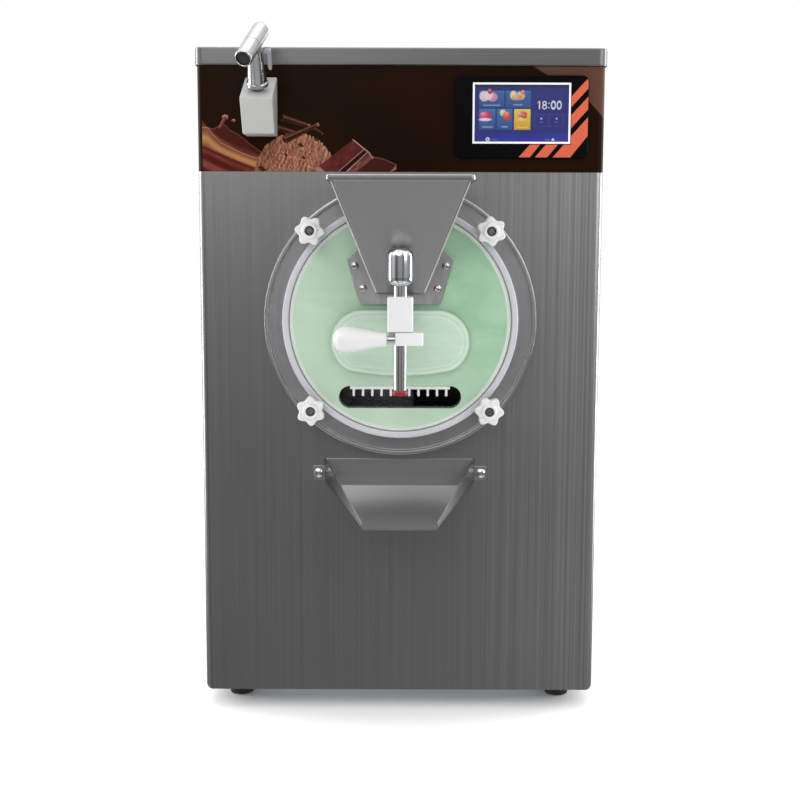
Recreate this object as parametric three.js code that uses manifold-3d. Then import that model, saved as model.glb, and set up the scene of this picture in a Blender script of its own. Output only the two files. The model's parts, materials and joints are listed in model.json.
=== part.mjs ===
// Countertop batch freezer for hard ice cream, as an assembly of separate pieces.
// Millimetres, +Z up, +X right, the front faces -Y. The origin lies on the surface that the
// machine stands on, below the centre of its bounding box. A "reach" is a distance in front of
// the cabinet's front face.
import * as THREE from "three";
import { mergeVertices } from "three/addons/utils/BufferGeometryUtils.js";
import Module from "manifold-3d";

const wasm = await Module();
wasm.setup();

// ---- driving dimensions ---------------------------------------------------------------------
const GAP = 0.3; // between pieces that touch
const RUNNING_GAP = 0.05; // between a shaft and its hole
const SHEET = 1.5; // sheet metal
const HALF_TURN = Math.PI;
const QUARTER_TURN = Math.PI / 2;
const ROUND = 36; // sides of a large round piece
const FINE = 16; // sides of a small one

const HALF_WIDTH = 220;
const BODY_DEPTH = 560;
const FRONT_REACH = 110; // how far the hopper stands out
const REAR_REACH = 15; // how far the water inlet stands out
const FRONT = FRONT_REACH - (BODY_DEPTH + FRONT_REACH + REAR_REACH) / 2;
const BACK = FRONT + BODY_DEPTH;
const CORNER_RADIUS = 8;
const PANEL_RETURN = 30;
const FOOT_HEIGHT = 22;
const BODY_BOTTOM = FOOT_HEIGHT + GAP;
const FASCIA_BOTTOM = 604;
const BODY_TOP = 716;
const LID_HEIGHT = 19;
const LID_OVERHANG = 2;
const FLOOR = BODY_BOTTOM + SHEET + GAP; // where the inner units stand
const SHELF = 282;

const AXIS_HEIGHT = 444; // of the freezing cylinder
const BORE = 114;
const BARREL_LENGTH = 250;
const FLANGE = { radius: 148, lip: 143.6, face: 12, lipFace: 16 };
const STUD = { radius: 4, circle: 135, from: 12, to: 54 };
const DOOR = { back: 15, front: 33, radius: 119.3, rim: 126.6, rimFront: 36 };
const KNOB = { radius: 13.6, lobe: 2.4, lobes: 6, from: 36.5, to: 56 };
const OUTLET = { halfWidth: 66, bottom: 350, top: 374, corner: 12 };
const THROAT = { halfWidth: 18, bottom: 476, top: 498 };
const HOPPER = { back: 37, bottom: 474, shoulder: 588, top: 595, halfTop: 69.8, halfBottom: 26, lip: 5.2 };
const GATE = { back: 33.4, front: 41.6, bottom: 386, top: 456, halfWidth: 74 };
const KEY = { halfWidth: 6, back: 29, bottom: 421, top: 451 };
const GATE_TRAVEL = 42;
const ROD = { reach: 84, radius: 6.9, bottom: 375.3, top: 483 };
const BLOCK = { halfWidth: 13.25, bottom: 436.2, top: 472, front: 99 };
const COLLAR = { bottom: 422.5, top: 435.8, front: 100, nose: 23.7 };
const LEVER = { height: 428.6, reach: 96, start: -13.5, end: -69 };
const SHAFT_RADIUS = 12;
const PULLEY = { front: 195, width: 16, belt: 9.6, driven: 74, driver: 24, spacing: 156 };
const FAN = { height: 150, radius: 88, y: 244 };
const SPRAYER = { x: -150, reach: 35, height: 688, lean: THREE.MathUtils.degToRad(35) };
const HOSE_HEIGHT = 657;
const SCREEN = { left: 76.7, right: 182.6, bottom: 633.6, top: 698.5 };
const BEZEL = { left: 58.5, right: 201.4, bottom: 619, top: 706, front: 4.5 };
const ROCKER_TILT = THREE.MathUtils.degToRad(8);
const POWER = { x: 150, bottom: 70, top: 150, halfWidth: 17 };

// ---- solids -----------------------------------------------------------------------------------
function toSolid(geometry) {
  const bare = geometry.clone();
  bare.deleteAttribute("normal");
  bare.deleteAttribute("uv");
  const merged = mergeVertices(bare, 1e-4);
  const index = merged.index.array;
  const triangles = [];
  for (let i = 0; i < index.length; i += 3) {
    const [a, b, c] = index.slice(i, i + 3);
    if (a !== b && b !== c && c !== a) triangles.push(a, b, c);
  }
  return new wasm.Manifold(
    new wasm.Mesh({
      numProp: 3,
      vertProperties: new Float32Array(merged.attributes.position.array),
      triVerts: new Uint32Array(triangles),
    }),
  );
}

function toGeometry(solid) {
  const mesh = solid.getMesh();
  const geometry = new THREE.BufferGeometry();
  geometry.setAttribute("position", new THREE.BufferAttribute(mesh.vertProperties, 3));
  geometry.setIndex(new THREE.BufferAttribute(mesh.triVerts, 1));
  return geometry;
}

const cut = (base, ...tools) =>
  toGeometry(tools.reduce((left, tool) => left.subtract(toSolid(tool)), toSolid(base)));
const join = (...parts) => toGeometry(parts.map(toSolid).reduce((sum, part) => sum.add(part)));
const common = (a, b) => toGeometry(toSolid(a).intersect(toSolid(b)));

function box(x0, x1, y0, y1, z0, z1) {
  const geometry = new THREE.BoxGeometry(x1 - x0, y1 - y0, z1 - z0);
  return geometry.translate((x0 + x1) / 2, (y0 + y1) / 2, (z0 + z1) / 2);
}

// A box given by its reach instead of its Y.
const boxAt = (x0, x1, reach0, reach1, z0, z1) => box(x0, x1, FRONT - reach1, FRONT - reach0, z0, z1);

function extrude(shape, depth, segments) {
  return new THREE.ExtrudeGeometry(shape, { depth, bevelEnabled: false, curveSegments: segments });
}

// An outline in X and Z, extruded forwards from one reach to another.
function forward(shape, from, to, segments = 6) {
  return extrude(shape, to - from, segments)
    .rotateX(QUARTER_TURN)
    .translate(0, FRONT - from, 0);
}

// An outline in X and Y, extruded upwards.
const upward = (shape, bottom, top, segments = 8) =>
  extrude(shape, top - bottom, segments).translate(0, 0, bottom);

// An outline in Y and Z, extruded to the right.
function sideways(shape, left, right, segments = 8) {
  const turn = new THREE.Matrix4().makeBasis(
    new THREE.Vector3(0, 1, 0),
    new THREE.Vector3(0, 0, 1),
    new THREE.Vector3(1, 0, 0),
  );
  return extrude(shape, right - left, segments).applyMatrix4(turn).translate(left, 0, 0);
}

// A solid of revolution about Y from [radius, y] points; it closes itself when it is off the axis.
function turned(profile, sides) {
  const points = profile.map(([radius, y]) => new THREE.Vector2(radius, y));
  if (THREE.ShapeUtils.area(points) < 0) points.reverse();
  if (points[0].x > 0) points.push(points[0].clone());
  return new THREE.LatheGeometry(points, sides);
}

// The same about the cylinder's axis, from [radius, reach] points.
const turnedAtDoor = (profile, sides, x = 0, z = AXIS_HEIGHT) =>
  turned(profile.map(([radius, reach]) => [radius, FRONT - reach]), sides).translate(x, 0, z);

// The same about a vertical axis, from [radius, z] points.
const turnedUpright = (profile, sides, x = 0, y = 0) =>
  turned(profile, sides).rotateX(QUARTER_TURN).translate(x, y, 0);

const rodAlongY = (radius, y0, y1, x, z, sides = FINE) =>
  turned([[0, y0], [radius, y0], [radius, y1], [0, y1]], sides).translate(x, 0, z);
const rodUpright = (radius, z0, z1, x, y, sides = FINE) =>
  turnedUpright([[0, z0], [radius, z0], [radius, z1], [0, z1]], sides, x, y);
const rodAtDoor = (radius, from, to, x, z, sides = FINE) =>
  rodAlongY(radius, FRONT - to, FRONT - from, x, z, sides);
const ring = (inner, outer, y0, y1, x, z, sides = ROUND) =>
  turned([[inner, y0], [outer, y0], [outer, y1], [inner, y1]], sides).translate(x, 0, z);

// The vertex radius of a faceted hole that clears a shaft at every angle.
const holeFor = (shaft, sides = FINE) => (shaft + RUNNING_GAP) / Math.cos(Math.PI / sides);

// A six-sided block from its lower and upper corners, each set counter-clockwise from above.
function block(lower, upper) {
  const geometry = new THREE.BufferGeometry();
  geometry.setAttribute("position", new THREE.Float32BufferAttribute([...lower, ...upper].flat(), 3));
  const index = [0, 2, 1, 0, 3, 2, 4, 5, 6, 4, 6, 7];
  for (let i = 0; i < 4; i++) {
    const j = (i + 1) % 4;
    index.push(i, j, j + 4, i, j + 4, i + 4);
  }
  return geometry.setIndex(index);
}

// The four corners of a level rectangle, given by half its width and two reaches.
const corners = (half, reach0, reach1, z) => [
  [-half, FRONT - reach1, z],
  [half, FRONT - reach1, z],
  [half, FRONT - reach0, z],
  [-half, FRONT - reach0, z],
];

function roundedRectangle(x0, x1, y0, y1, lower, upper = lower) {
  const shape = new THREE.Shape();
  shape.moveTo(x0 + lower, y0);
  shape.lineTo(x1 - lower, y0);
  if (lower) shape.absarc(x1 - lower, y0 + lower, lower, -QUARTER_TURN, 0, false);
  shape.lineTo(x1, y1 - upper);
  if (upper) shape.absarc(x1 - upper, y1 - upper, upper, 0, QUARTER_TURN, false);
  shape.lineTo(x0 + upper, y1);
  if (upper) shape.absarc(x0 + upper, y1 - upper, upper, QUARTER_TURN, HALF_TURN, false);
  shape.lineTo(x0, y0 + lower);
  if (lower) shape.absarc(x0 + lower, y0 + lower, lower, HALF_TURN, HALF_TURN + QUARTER_TURN, false);
  return shape;
}

function polygon(points) {
  return new THREE.Shape(points.map(([x, y]) => new THREE.Vector2(x, y)));
}

function disc(radius) {
  return new THREE.Shape().absarc(0, 0, radius, 0, 2 * HALF_TURN, false);
}

function tube(points, radius, steps, sides = 8) {
  const path = new THREE.CatmullRomCurve3(points.map((point) => new THREE.Vector3(...point)));
  return new THREE.ExtrudeGeometry(disc(radius), {
    steps,
    extrudePath: path,
    bevelEnabled: false,
    curveSegments: sides / 2,
  });
}

// Turns each point about the cylinder's axis by an angle that grows evenly along Y.
function twist(geometry, y0, y1, angle) {
  const position = geometry.attributes.position;
  const point = new THREE.Vector3();
  const axis = new THREE.Vector3(0, 1, 0);
  for (let i = 0; i < position.count; i++) {
    point.fromBufferAttribute(position, i);
    point.applyAxisAngle(axis, (angle * (point.y - y0)) / (y1 - y0));
    position.setXYZ(i, point.x, point.y, point.z);
  }
  return geometry;
}

// ---- finishes ---------------------------------------------------------------------------------
const finish = (color, roughness, metalness, more = {}) => () =>
  new THREE.MeshStandardMaterial({ color, roughness, metalness, ...more });
const brushedSteel = finish(0x8b8c8c, 0.38, 1);
const polishedSteel = finish(0xc4c6c8, 0.18, 1);
const chrome = finish(0xd8dadc, 0.06, 1);
const galvanised = finish(0x8f949a, 0.55, 1);
const whitePlastic = finish(0xf1f1ee, 0.35, 0);
const blackPlastic = finish(0x0d0d0e, 0.3, 0);
const blackRubber = finish(0x161616, 0.85, 0);
const redRubber = finish(0xa8161a, 0.5, 0);
const greyPlastic = finish(0x77797b, 0.4, 0);
const chocolateFilm = finish(0x1e0f08, 0.3, 0);
const clearPlastic = finish(0xb4d0b8, 0.12, 0, { transparent: true, opacity: 0.75 });
const screenGlass = finish(0x10246a, 0.05, 0);
const foam = finish(0xd9c79a, 0.95, 0);
const copper = finish(0xb5683c, 0.3, 1);
const blackPaint = finish(0x1a1b1c, 0.45, 0.2);
const bluePaint = finish(0x2d4a66, 0.5, 0.2);
const finPack = finish(0xb9bcc0, 0.45, 1);
const brass = finish(0xb89b4e, 0.3, 1);
const hoseWhite = finish(0xdedfe0, 0.5, 0);

const machine = new THREE.Group();

function piece(name, geometry, material, parent = machine) {
  const mesh = new THREE.Mesh(geometry, material());
  mesh.name = name;
  parent.add(mesh);
  return mesh;
}

// ---- cabinet ----------------------------------------------------------------------------------

// A folded front sheet with rounded vertical edges and a return along each side.
function foldedFront(bottom, top, lowerCorner) {
  const bendX = HALF_WIDTH - CORNER_RADIUS;
  const bendY = FRONT + CORNER_RADIUS;
  const inner = CORNER_RADIUS - SHEET;
  const end = FRONT + PANEL_RETURN;
  const section = new THREE.Shape();
  section.moveTo(-HALF_WIDTH, end);
  section.absarc(-bendX, bendY, CORNER_RADIUS, HALF_TURN, 1.5 * HALF_TURN, false);
  section.absarc(bendX, bendY, CORNER_RADIUS, -QUARTER_TURN, 0, false);
  section.lineTo(HALF_WIDTH, end);
  section.lineTo(HALF_WIDTH - SHEET, end);
  section.absarc(bendX, bendY, inner, 0, -QUARTER_TURN, true);
  section.absarc(-bendX, bendY, inner, -QUARTER_TURN, -HALF_TURN, true);
  section.lineTo(SHEET - HALF_WIDTH, end);
  const outline = roundedRectangle(-HALF_WIDTH - 1, HALF_WIDTH + 1, bottom, top, lowerCorner, 0);
  const sheet = upward(section, bottom - 1, top + 1, 4);
  return common(sheet, forward(outline, -PANEL_RETURN - 2, 2));
}

function makeFront() {
  const panel = foldedFront(BODY_BOTTOM, FASCIA_BOTTOM - GAP, 9);
  const barrelHole = rodAtDoor(BORE + 6, -3, 1, 0, AXIS_HEIGHT, ROUND);
  piece("front_panel", cut(panel, barrelHole), brushedSteel);

  const fascia = foldedFront(FASCIA_BOTTOM, BODY_TOP - GAP, 0);
  const cableWindow = boxAt(SCREEN.left + 8, SCREEN.right - 8, -3, 1, SCREEN.bottom + 8, SCREEN.top - 8);
  const hoseHole = rodAtDoor(6, -3, 1, SPRAYER.x, HOSE_HEIGHT, 12);
  piece("fascia_panel", cut(fascia, cableWindow, hoseHole), chocolateFilm);
}

function makeSides() {
  const louvreRows = 9;
  for (const [name, side] of [["left_side_panel", -1], ["right_side_panel", 1]]) {
    const x0 = side > 0 ? HALF_WIDTH - SHEET : -HALF_WIDTH;
    const panel = box(x0, x0 + SHEET, FRONT + PANEL_RETURN + 2 * GAP, BACK, BODY_BOTTOM, BODY_TOP - GAP);
    const slots = Array.from({ length: louvreRows }, (_, row) =>
      box(x0 - 1, x0 + SHEET + 1, -70, 110, 80 + row * 18, 86 + row * 18),
    );
    piece(name, cut(panel, ...slots), brushedSteel);
  }
}

function makeRear() {
  const half = HALF_WIDTH - SHEET - GAP;
  const panel = box(-half, half, BACK - SHEET, BACK, BODY_BOTTOM, BODY_TOP - GAP);
  const slots = [];
  for (let row = 0; row < 9; row++)
    for (const x of [-115, 5])
      slots.push(box(x, x + 110, BACK - 3, BACK + 1, 70 + row * 20, 77 + row * 20));
  const powerHole = box(
    POWER.x - POWER.halfWidth + 2, POWER.x + POWER.halfWidth - 2,
    BACK - 3, BACK + 1, POWER.bottom + 2, POWER.top - 2,
  );
  const waterHole = rodAlongY(8, BACK - 3, BACK + 1, SPRAYER.x, HOSE_HEIGHT, 16);
  piece("rear_panel", cut(panel, ...slots, powerHole, waterHole), brushedSteel);
}

function makeLid() {
  const half = HALF_WIDTH + LID_OVERHANG;
  const plan = (inset, radius) =>
    roundedRectangle(
      inset - half, half - inset, FRONT - LID_OVERHANG + inset, BACK + LID_OVERHANG - inset, radius,
    );
  const outer = upward(plan(0, 10), BODY_TOP, BODY_TOP + LID_HEIGHT, 4);
  const hollow = upward(plan(SHEET, 10 - SHEET), BODY_TOP - 1, BODY_TOP + LID_HEIGHT - SHEET, 4);
  piece("top_lid", cut(outer, hollow), brushedSteel);
}

function makeBase() {
  const half = HALF_WIDTH - SHEET - 1;
  const [panFront, panBack] = [FRONT + CORNER_RADIUS + 1, BACK - 3];
  const pan = box(-half, half, panFront, panBack, BODY_BOTTOM, BODY_BOTTOM + 28);
  const hollow = box(-half + SHEET, half - SHEET, panFront + SHEET, panBack - SHEET, FLOOR - GAP, 60);
  piece("base_pan", cut(pan, hollow), galvanised);

  const footProfile = [[0, 0], [13, 0], [14, 1.5], [15, FOOT_HEIGHT], [0, FOOT_HEIGHT]];
  const places = { front_left: [-1, 1], front_right: [1, 1], rear_left: [-1, -1], rear_right: [1, -1] };
  for (const [place, [side, end]] of Object.entries(places)) {
    const y = end > 0 ? FRONT + 55 : BACK - 55;
    piece(`${place}_foot`, turnedUpright(footProfile, FINE, side * 186, y), blackRubber);
  }
}

// ---- display ----------------------------------------------------------------------------------
function makeDisplay() {
  const outline = roundedRectangle(BEZEL.left, BEZEL.right, BEZEL.bottom, BEZEL.top, 7);
  const window = boxAt(SCREEN.left, SCREEN.right, 0, 10, SCREEN.bottom, SCREEN.top);
  const bezel = cut(forward(outline, GAP, BEZEL.front, 5), window);
  piece("display_bezel", bezel, blackPlastic);
  const screen = boxAt(
    SCREEN.left + GAP, SCREEN.right - GAP, GAP, BEZEL.front - 0.2, SCREEN.bottom + GAP, SCREEN.top - GAP,
  );
  piece("display_screen", screen, screenGlass);
  piece("control_box", boxAt(BEZEL.left, BEZEL.right, -64, -3, 612, 704), galvanised);
}

// ---- freezing cylinder ------------------------------------------------------------------------
function makeBarrel() {
  const end = BARREL_LENGTH;
  const wall = [
    [BORE, 0], [BORE + 2, 0], [BORE + 2, -end], [SHAFT_RADIUS + 4, -end], [SHAFT_RADIUS + 4, 4 - end],
    [BORE, 4 - end],
  ];
  piece("barrel", turnedAtDoor(wall, ROUND), polishedSteel);

  const plate = turnedAtDoor(
    [
      [BORE, GAP], [FLANGE.radius, GAP], [FLANGE.radius, FLANGE.lipFace - 1],
      [FLANGE.radius - 1, FLANGE.lipFace], [FLANGE.lip, FLANGE.lipFace], [FLANGE.lip, FLANGE.face],
      [BORE, FLANGE.face],
    ],
    ROUND,
  );
  const studs = knobPlaces().map(([, x, z]) => rodAtDoor(STUD.radius, STUD.from - 2, STUD.to, x, z));
  piece("barrel_flange", join(plate, ...studs), polishedSteel);

  const turns = 5;
  const coilRadius = BORE + 11;
  const stepsPerTurn = 12;
  const coil = Array.from({ length: turns * stepsPerTurn + 1 }, (_, i) => {
    const angle = (2 * HALF_TURN * i) / stepsPerTurn;
    const y = FRONT + 20 + ((BARREL_LENGTH - 50) * i) / (turns * stepsPerTurn);
    return [coilRadius * Math.cos(angle), y, AXIS_HEIGHT + coilRadius * Math.sin(angle)];
  });
  piece("evaporator_coil", tube(coil, 3.5, turns * stepsPerTurn, 6), copper);

  const jacket = ring(BORE + 16, 157, FRONT + 5, FRONT + BARREL_LENGTH + 12, 0, AXIS_HEIGHT, ROUND);
  piece("insulation_jacket", jacket, foam);

  const behind = FRONT + BARREL_LENGTH;
  const housing = turned(
    [
      [holeFor(SHAFT_RADIUS), behind + GAP], [60, behind + GAP], [60, behind + 8], [30, behind + 12],
      [30, behind + 48], [holeFor(SHAFT_RADIUS), behind + 48],
    ],
    FINE,
  ).translate(0, 0, AXIS_HEIGHT);
  piece("bearing_housing", housing, galvanised);
}

// The four studs and knobs: name, x and z.
function knobPlaces() {
  const offset = STUD.circle * Math.SQRT1_2;
  return [
    ["upper_left_knob", -offset, AXIS_HEIGHT + offset],
    ["upper_right_knob", offset, AXIS_HEIGHT + offset],
    ["lower_left_knob", -offset, AXIS_HEIGHT - offset],
    ["lower_right_knob", offset, AXIS_HEIGHT - offset],
  ];
}

// ---- beater and its drive -----------------------------------------------------------------------
function makeBeater() {
  const blades = 3;
  const start = FRONT + 3;
  const end = FRONT + BARREL_LENGTH - 10;
  const sweep = THREE.MathUtils.degToRad(50);
  const steps = 6;
  // A bar along the cylinder between two radii, twisted about the axis.
  const bar = (inner, outer, from, to, halfThickness, angle) => {
    const section = new THREE.BoxGeometry(2 * halfThickness, to - from, outer - inner, 1, steps, 1);
    section.translate(0, (from + to) / 2, (inner + outer) / 2);
    return twist(section, start, end, sweep).rotateY(angle);
  };
  const arm = (angle, y0, turn) =>
    box(-6, 6, y0, y0 + 8, 0, 99).rotateY(angle + turn);
  const solids = [
    rodAlongY(SHAFT_RADIUS, start, PULLEY.front + PULLEY.width + 4, 0, 0),
    rodAlongY(8, FRONT - DOOR.back - 9, start + 1, 0, 0),
    rodAlongY(20, start, start + 14, 0, 0),
    rodAlongY(20, end - 14, end, 0, 0),
  ];
  const bladeTurn = (2 * HALF_TURN) / blades;
  for (let i = 0; i < blades; i++) {
    const angle = i * bladeTurn;
    solids.push(bar(86, 100, start, end, 4, angle));
    solids.push(arm(angle, start, (sweep * 4) / (end - start)));
    solids.push(arm(angle, end - 8, sweep - (sweep * 4) / (end - start)));
    const scraper = bar(100 + GAP, BORE - 0.8, start, end, 2.5, angle);
    piece(`scraper_blade_${i + 1}`, scraper.translate(0, 0, AXIS_HEIGHT), whitePlastic);
  }
  piece("beater_frame", join(...solids).translate(0, 0, AXIS_HEIGHT), polishedSteel);
}

// A pulley with one flat groove for the belt.
function pulley(hole, groove, sides) {
  const rim = groove + 6;
  const side = (PULLEY.width - PULLEY.belt - 2 * GAP) / 2;
  const { front: y0, width } = PULLEY;
  return turned(
    [
      [hole, y0], [rim, y0], [rim, y0 + side], [groove, y0 + side], [groove, y0 + width - side],
      [rim, y0 + width - side], [rim, y0 + width], [hole, y0 + width],
    ],
    sides,
  );
}

function makeDrive() {
  const motorHeight = AXIS_HEIGHT + PULLEY.spacing;
  const motorEnd = PULLEY.front - 12;
  const driven = pulley(SHAFT_RADIUS + GAP, PULLEY.driven, 24).translate(0, 0, AXIS_HEIGHT);
  piece("driven_pulley", driven, blackPaint);
  const motorShaft = rodAlongY(9, motorEnd - 12, PULLEY.front + PULLEY.width + 2, 0, 0);
  const driver = join(pulley(6, PULLEY.driver, 16), motorShaft).translate(0, 0, motorHeight);
  piece("motor_pulley", driver, blackPaint);

  // The belt: two arcs joined by the outer tangents, as an outline with a hole.
  const clearance = 0.6;
  const tangent = Math.acos((PULLEY.driven - PULLEY.driver) / PULLEY.spacing);
  const [left, right] = [QUARTER_TURN + tangent, QUARTER_TURN - tangent];
  const loop = (path, extra) => {
    path.absarc(0, 0, PULLEY.driven + extra, left, right, false);
    path.absarc(0, PULLEY.spacing, PULLEY.driver + extra, right, left, false);
    return path;
  };
  const beltShape = loop(new THREE.Shape(), clearance + 5);
  beltShape.holes.push(loop(new THREE.Path(), clearance));
  const beltFront = PULLEY.front + (PULLEY.width - PULLEY.belt) / 2;
  const belt = forward(beltShape, 0, PULLEY.belt, 9);
  piece("drive_belt", belt.translate(0, beltFront + PULLEY.belt - FRONT, AXIS_HEIGHT), blackRubber);

  const motor = turned(
    [
      [0, motorEnd - 150], [48, motorEnd - 150], [56, motorEnd - 142], [65, motorEnd - 128],
      [65, motorEnd - 22], [56, motorEnd - 10], [26, motorEnd - 10], [26, motorEnd],
      [9 + GAP, motorEnd], [9 + GAP, motorEnd - 14], [0, motorEnd - 14],
    ],
    20,
  );
  piece("drive_motor", motor.translate(0, 0, motorHeight), bluePaint);

  const plateFront = motorEnd + GAP;
  const shelf = box(-214, 214, FRONT + BARREL_LENGTH + 14, BACK - 60, SHELF, SHELF + 3);
  const upright = box(-105, 105, plateFront, plateFront + 4, SHELF, 690);
  const shaftHole = rodAlongY(SHAFT_RADIUS + 2, plateFront - 1, plateFront + 5, 0, AXIS_HEIGHT);
  const motorHole = rodAlongY(11, plateFront - 1, plateFront + 5, 0, motorHeight);
  piece("drive_frame", cut(join(shelf, upright), shaftHole, motorHole), galvanised);
}

// ---- cooling unit -------------------------------------------------------------------------------
function makeCooling() {
  const [x, y] = [-90, -70];
  const dome = turnedUpright(
    [[0, FLOOR + 22], [78, FLOOR + 22], [80, FLOOR + 30], [80, 190], [70, 226], [45, 244], [0, 250]],
    20, x, y,
  );
  const plate = box(x - 92, x + 92, y - 72, y + 72, FLOOR + 20, FLOOR + 24);
  const legs = [[-80, -60], [80, -60], [-80, 60], [80, 60]].map(([dx, dy]) =>
    rodUpright(9, FLOOR, FLOOR + 21, x + dx, y + dy, 12),
  );
  piece("compressor", join(dome, plate, ...legs), blackPaint);

  // The condenser: a row of upright fins on a core.
  const fins = 24;
  const [left, right] = [-140, 124];
  const pitch = (right - left) / fins;
  const [finFront, finBack, coreFront] = [BACK - 62, BACK - 16, BACK - 28];
  const outline = [[left, finBack]];
  for (let i = 0; i < fins; i++) {
    const x0 = left + i * pitch;
    outline.push([x0, finFront], [x0 + pitch * 0.4, finFront], [x0 + pitch * 0.4, coreFront]);
    outline.push([x0 + pitch, coreFront]);
  }
  outline.push([right, finBack]);
  piece("condenser", upward(polygon(outline), FLOOR, 262), finPack);

  const shroudBack = BACK - 66;
  const shroudPlate = box(-120, 120, shroudBack - 3, shroudBack, FLOOR, 262);
  const collar = ring(FAN.radius + 4, FAN.radius + 7, shroudBack - 22, shroudBack - 1, 0, FAN.height, 24);
  const mouth = rodAlongY(FAN.radius + 4, shroudBack - 25, shroudBack + 1, 0, FAN.height, 24);
  piece("fan_shroud", join(cut(shroudPlate, mouth), collar), galvanised);

  const blades = 5;
  const fan = [
    rodAlongY(22, FAN.y - 8, FAN.y + 8, 0, 0),
    rodAlongY(4, FAN.y - 16, FAN.y, 0, 0, 12),
  ];
  for (let i = 0; i < blades; i++) {
    const blade = box(-20, 20, -1.25, 1.25, 10, FAN.radius).rotateZ(THREE.MathUtils.degToRad(24));
    fan.push(blade.translate(0, FAN.y, 0).rotateY((2 * HALF_TURN * i) / blades));
  }
  piece("fan_blade", join(...fan).translate(0, 0, FAN.height), blackPlastic);

  const motorBack = FAN.y - 11;
  const body = turned(
    [[0, motorBack - 46], [30, motorBack - 46], [34, motorBack - 40], [34, motorBack], [6, motorBack],
      [6, motorBack - 7], [0, motorBack - 7]],
    FINE,
  ).translate(0, 0, FAN.height);
  const stand = box(-14, 14, motorBack - 40, motorBack - 10, FLOOR, FAN.height - 25);
  piece("fan_motor", join(body, stand), blackPaint);
}

// ---- door ---------------------------------------------------------------------------------------
function makeDoor() {
  const slot = roundedRectangle(
    -OUTLET.halfWidth, OUTLET.halfWidth, OUTLET.bottom, OUTLET.top, OUTLET.corner,
  );
  const groove = boxAt(
    -KEY.halfWidth - 0.4, KEY.halfWidth + 0.4, KEY.back - 0.5, DOOR.front + 1,
    KEY.bottom - GATE_TRAVEL - 1, KEY.top + 1,
  );
  const disc = turnedAtDoor(
    [[0, DOOR.back], [DOOR.radius, DOOR.back], [DOOR.radius, DOOR.front - 1], [DOOR.radius - 1, DOOR.front],
      [0, DOOR.front]],
    ROUND,
  );
  const journalHole = rodAtDoor(holeFor(8), DOOR.back - 1, DOOR.back + 10, 0, AXIS_HEIGHT);
  const throat = boxAt(-THROAT.halfWidth, THROAT.halfWidth, 0, 50, THROAT.bottom, THROAT.top);
  const plate = cut(disc, forward(slot, DOOR.back - 1, DOOR.front + 1, 6), groove, journalHole, throat);
  piece("door_disc", plate, clearPlastic);

  const rim = turnedAtDoor(
    [[DOOR.radius + GAP, FLANGE.face + GAP], [DOOR.rim, FLANGE.face + GAP],
      [DOOR.rim, DOOR.rimFront - 1.5], [DOOR.rim - 1.5, DOOR.rimFront],
      [DOOR.radius + 1.5, DOOR.rimFront], [DOOR.radius + GAP, DOOR.rimFront - 1]],
    ROUND,
  );
  piece("door_rim", rim, whitePlastic);
  const seal = turnedAtDoor(
    [[BORE + 0.8, FLANGE.face + GAP], [DOOR.radius, FLANGE.face + GAP], [DOOR.radius, DOOR.back - GAP],
      [BORE + 0.8, DOOR.back - GAP]],
    ROUND,
  );
  piece("door_seal", seal, whitePlastic);

  // A comb of teeth that hangs into the outlet and ridges what comes out.
  const teeth = 11;
  const pitch = 10;
  const [barBottom, barTop, tip] = [OUTLET.top - 3.6, OUTLET.top - GAP, OUTLET.top - 11];
  const halfTooth = 1.2;
  const outline = [[54, barBottom], [54, barTop], [-54, barTop], [-54, barBottom]];
  for (let i = 0; i < teeth; i++) {
    const x = (i - (teeth - 1) / 2) * pitch;
    outline.push([x - halfTooth, barBottom], [x - halfTooth, tip]);
    outline.push([x + halfTooth, tip], [x + halfTooth, barBottom]);
  }
  piece("outlet_comb", forward(polygon(outline), 20, 32), whitePlastic);
}

function makeHopper() {
  const face = DOOR.front + GAP;
  const plateFront = HOPPER.back - GAP;
  const outline = polygon([[-57, 510], [-43, 462], [43, 462], [57, 510], [47, 520], [-47, 520]]);
  const plate = forward(outline, face, plateFront);
  const throat = boxAt(-THROAT.halfWidth, THROAT.halfWidth, 0, 50, THROAT.bottom, THROAT.top);
  const bolts = [[-48.5, 503], [48.5, 503], [-39.8, 479], [39.8, 479]].map(([x, z]) =>
    turnedAtDoor(
      [[0, plateFront - 1], [4.2, plateFront - 1], [4.2, plateFront + 1], [2.6, plateFront + 2.6],
        [0, plateFront + 3]],
      10, x, z,
    ),
  );
  piece("hopper_bracket", join(cut(plate, throat), ...bolts), polishedSteel);

  const { back, bottom, shoulder, top, halfTop, halfBottom, lip } = HOPPER;
  const frontTop = FRONT_REACH - 2;
  const frontBottom = 48;
  const wall = SHEET;
  const shell = block(
    corners(halfBottom, back, frontBottom, bottom),
    corners(halfTop, back, frontTop, shoulder),
  );
  const rim = boxAt(-halfTop - lip, halfTop + lip, back, FRONT_REACH, shoulder - 1, top);
  // The hollow follows the walls and runs on past the rim.
  const hollow = block(
    corners(halfBottom - wall - 0.5, back + wall, frontBottom - wall - 0.5, bottom + wall),
    corners(halfTop - wall - 0.5, back + wall, frontTop - wall - 0.5, shoulder),
  );
  const mouth = boxAt(
    wall - halfTop + 0.5, halfTop - wall - 0.5, back + wall, frontTop - wall - 0.5, shoulder - 1, top + 1,
  );
  const body = cut(join(shell, rim), hollow, mouth);
  const backHole = boxAt(-THROAT.halfWidth, THROAT.halfWidth, back - 1, back + 4, THROAT.bottom, THROAT.top);
  piece("hopper", cut(body, backHole), polishedSteel);
}

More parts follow.
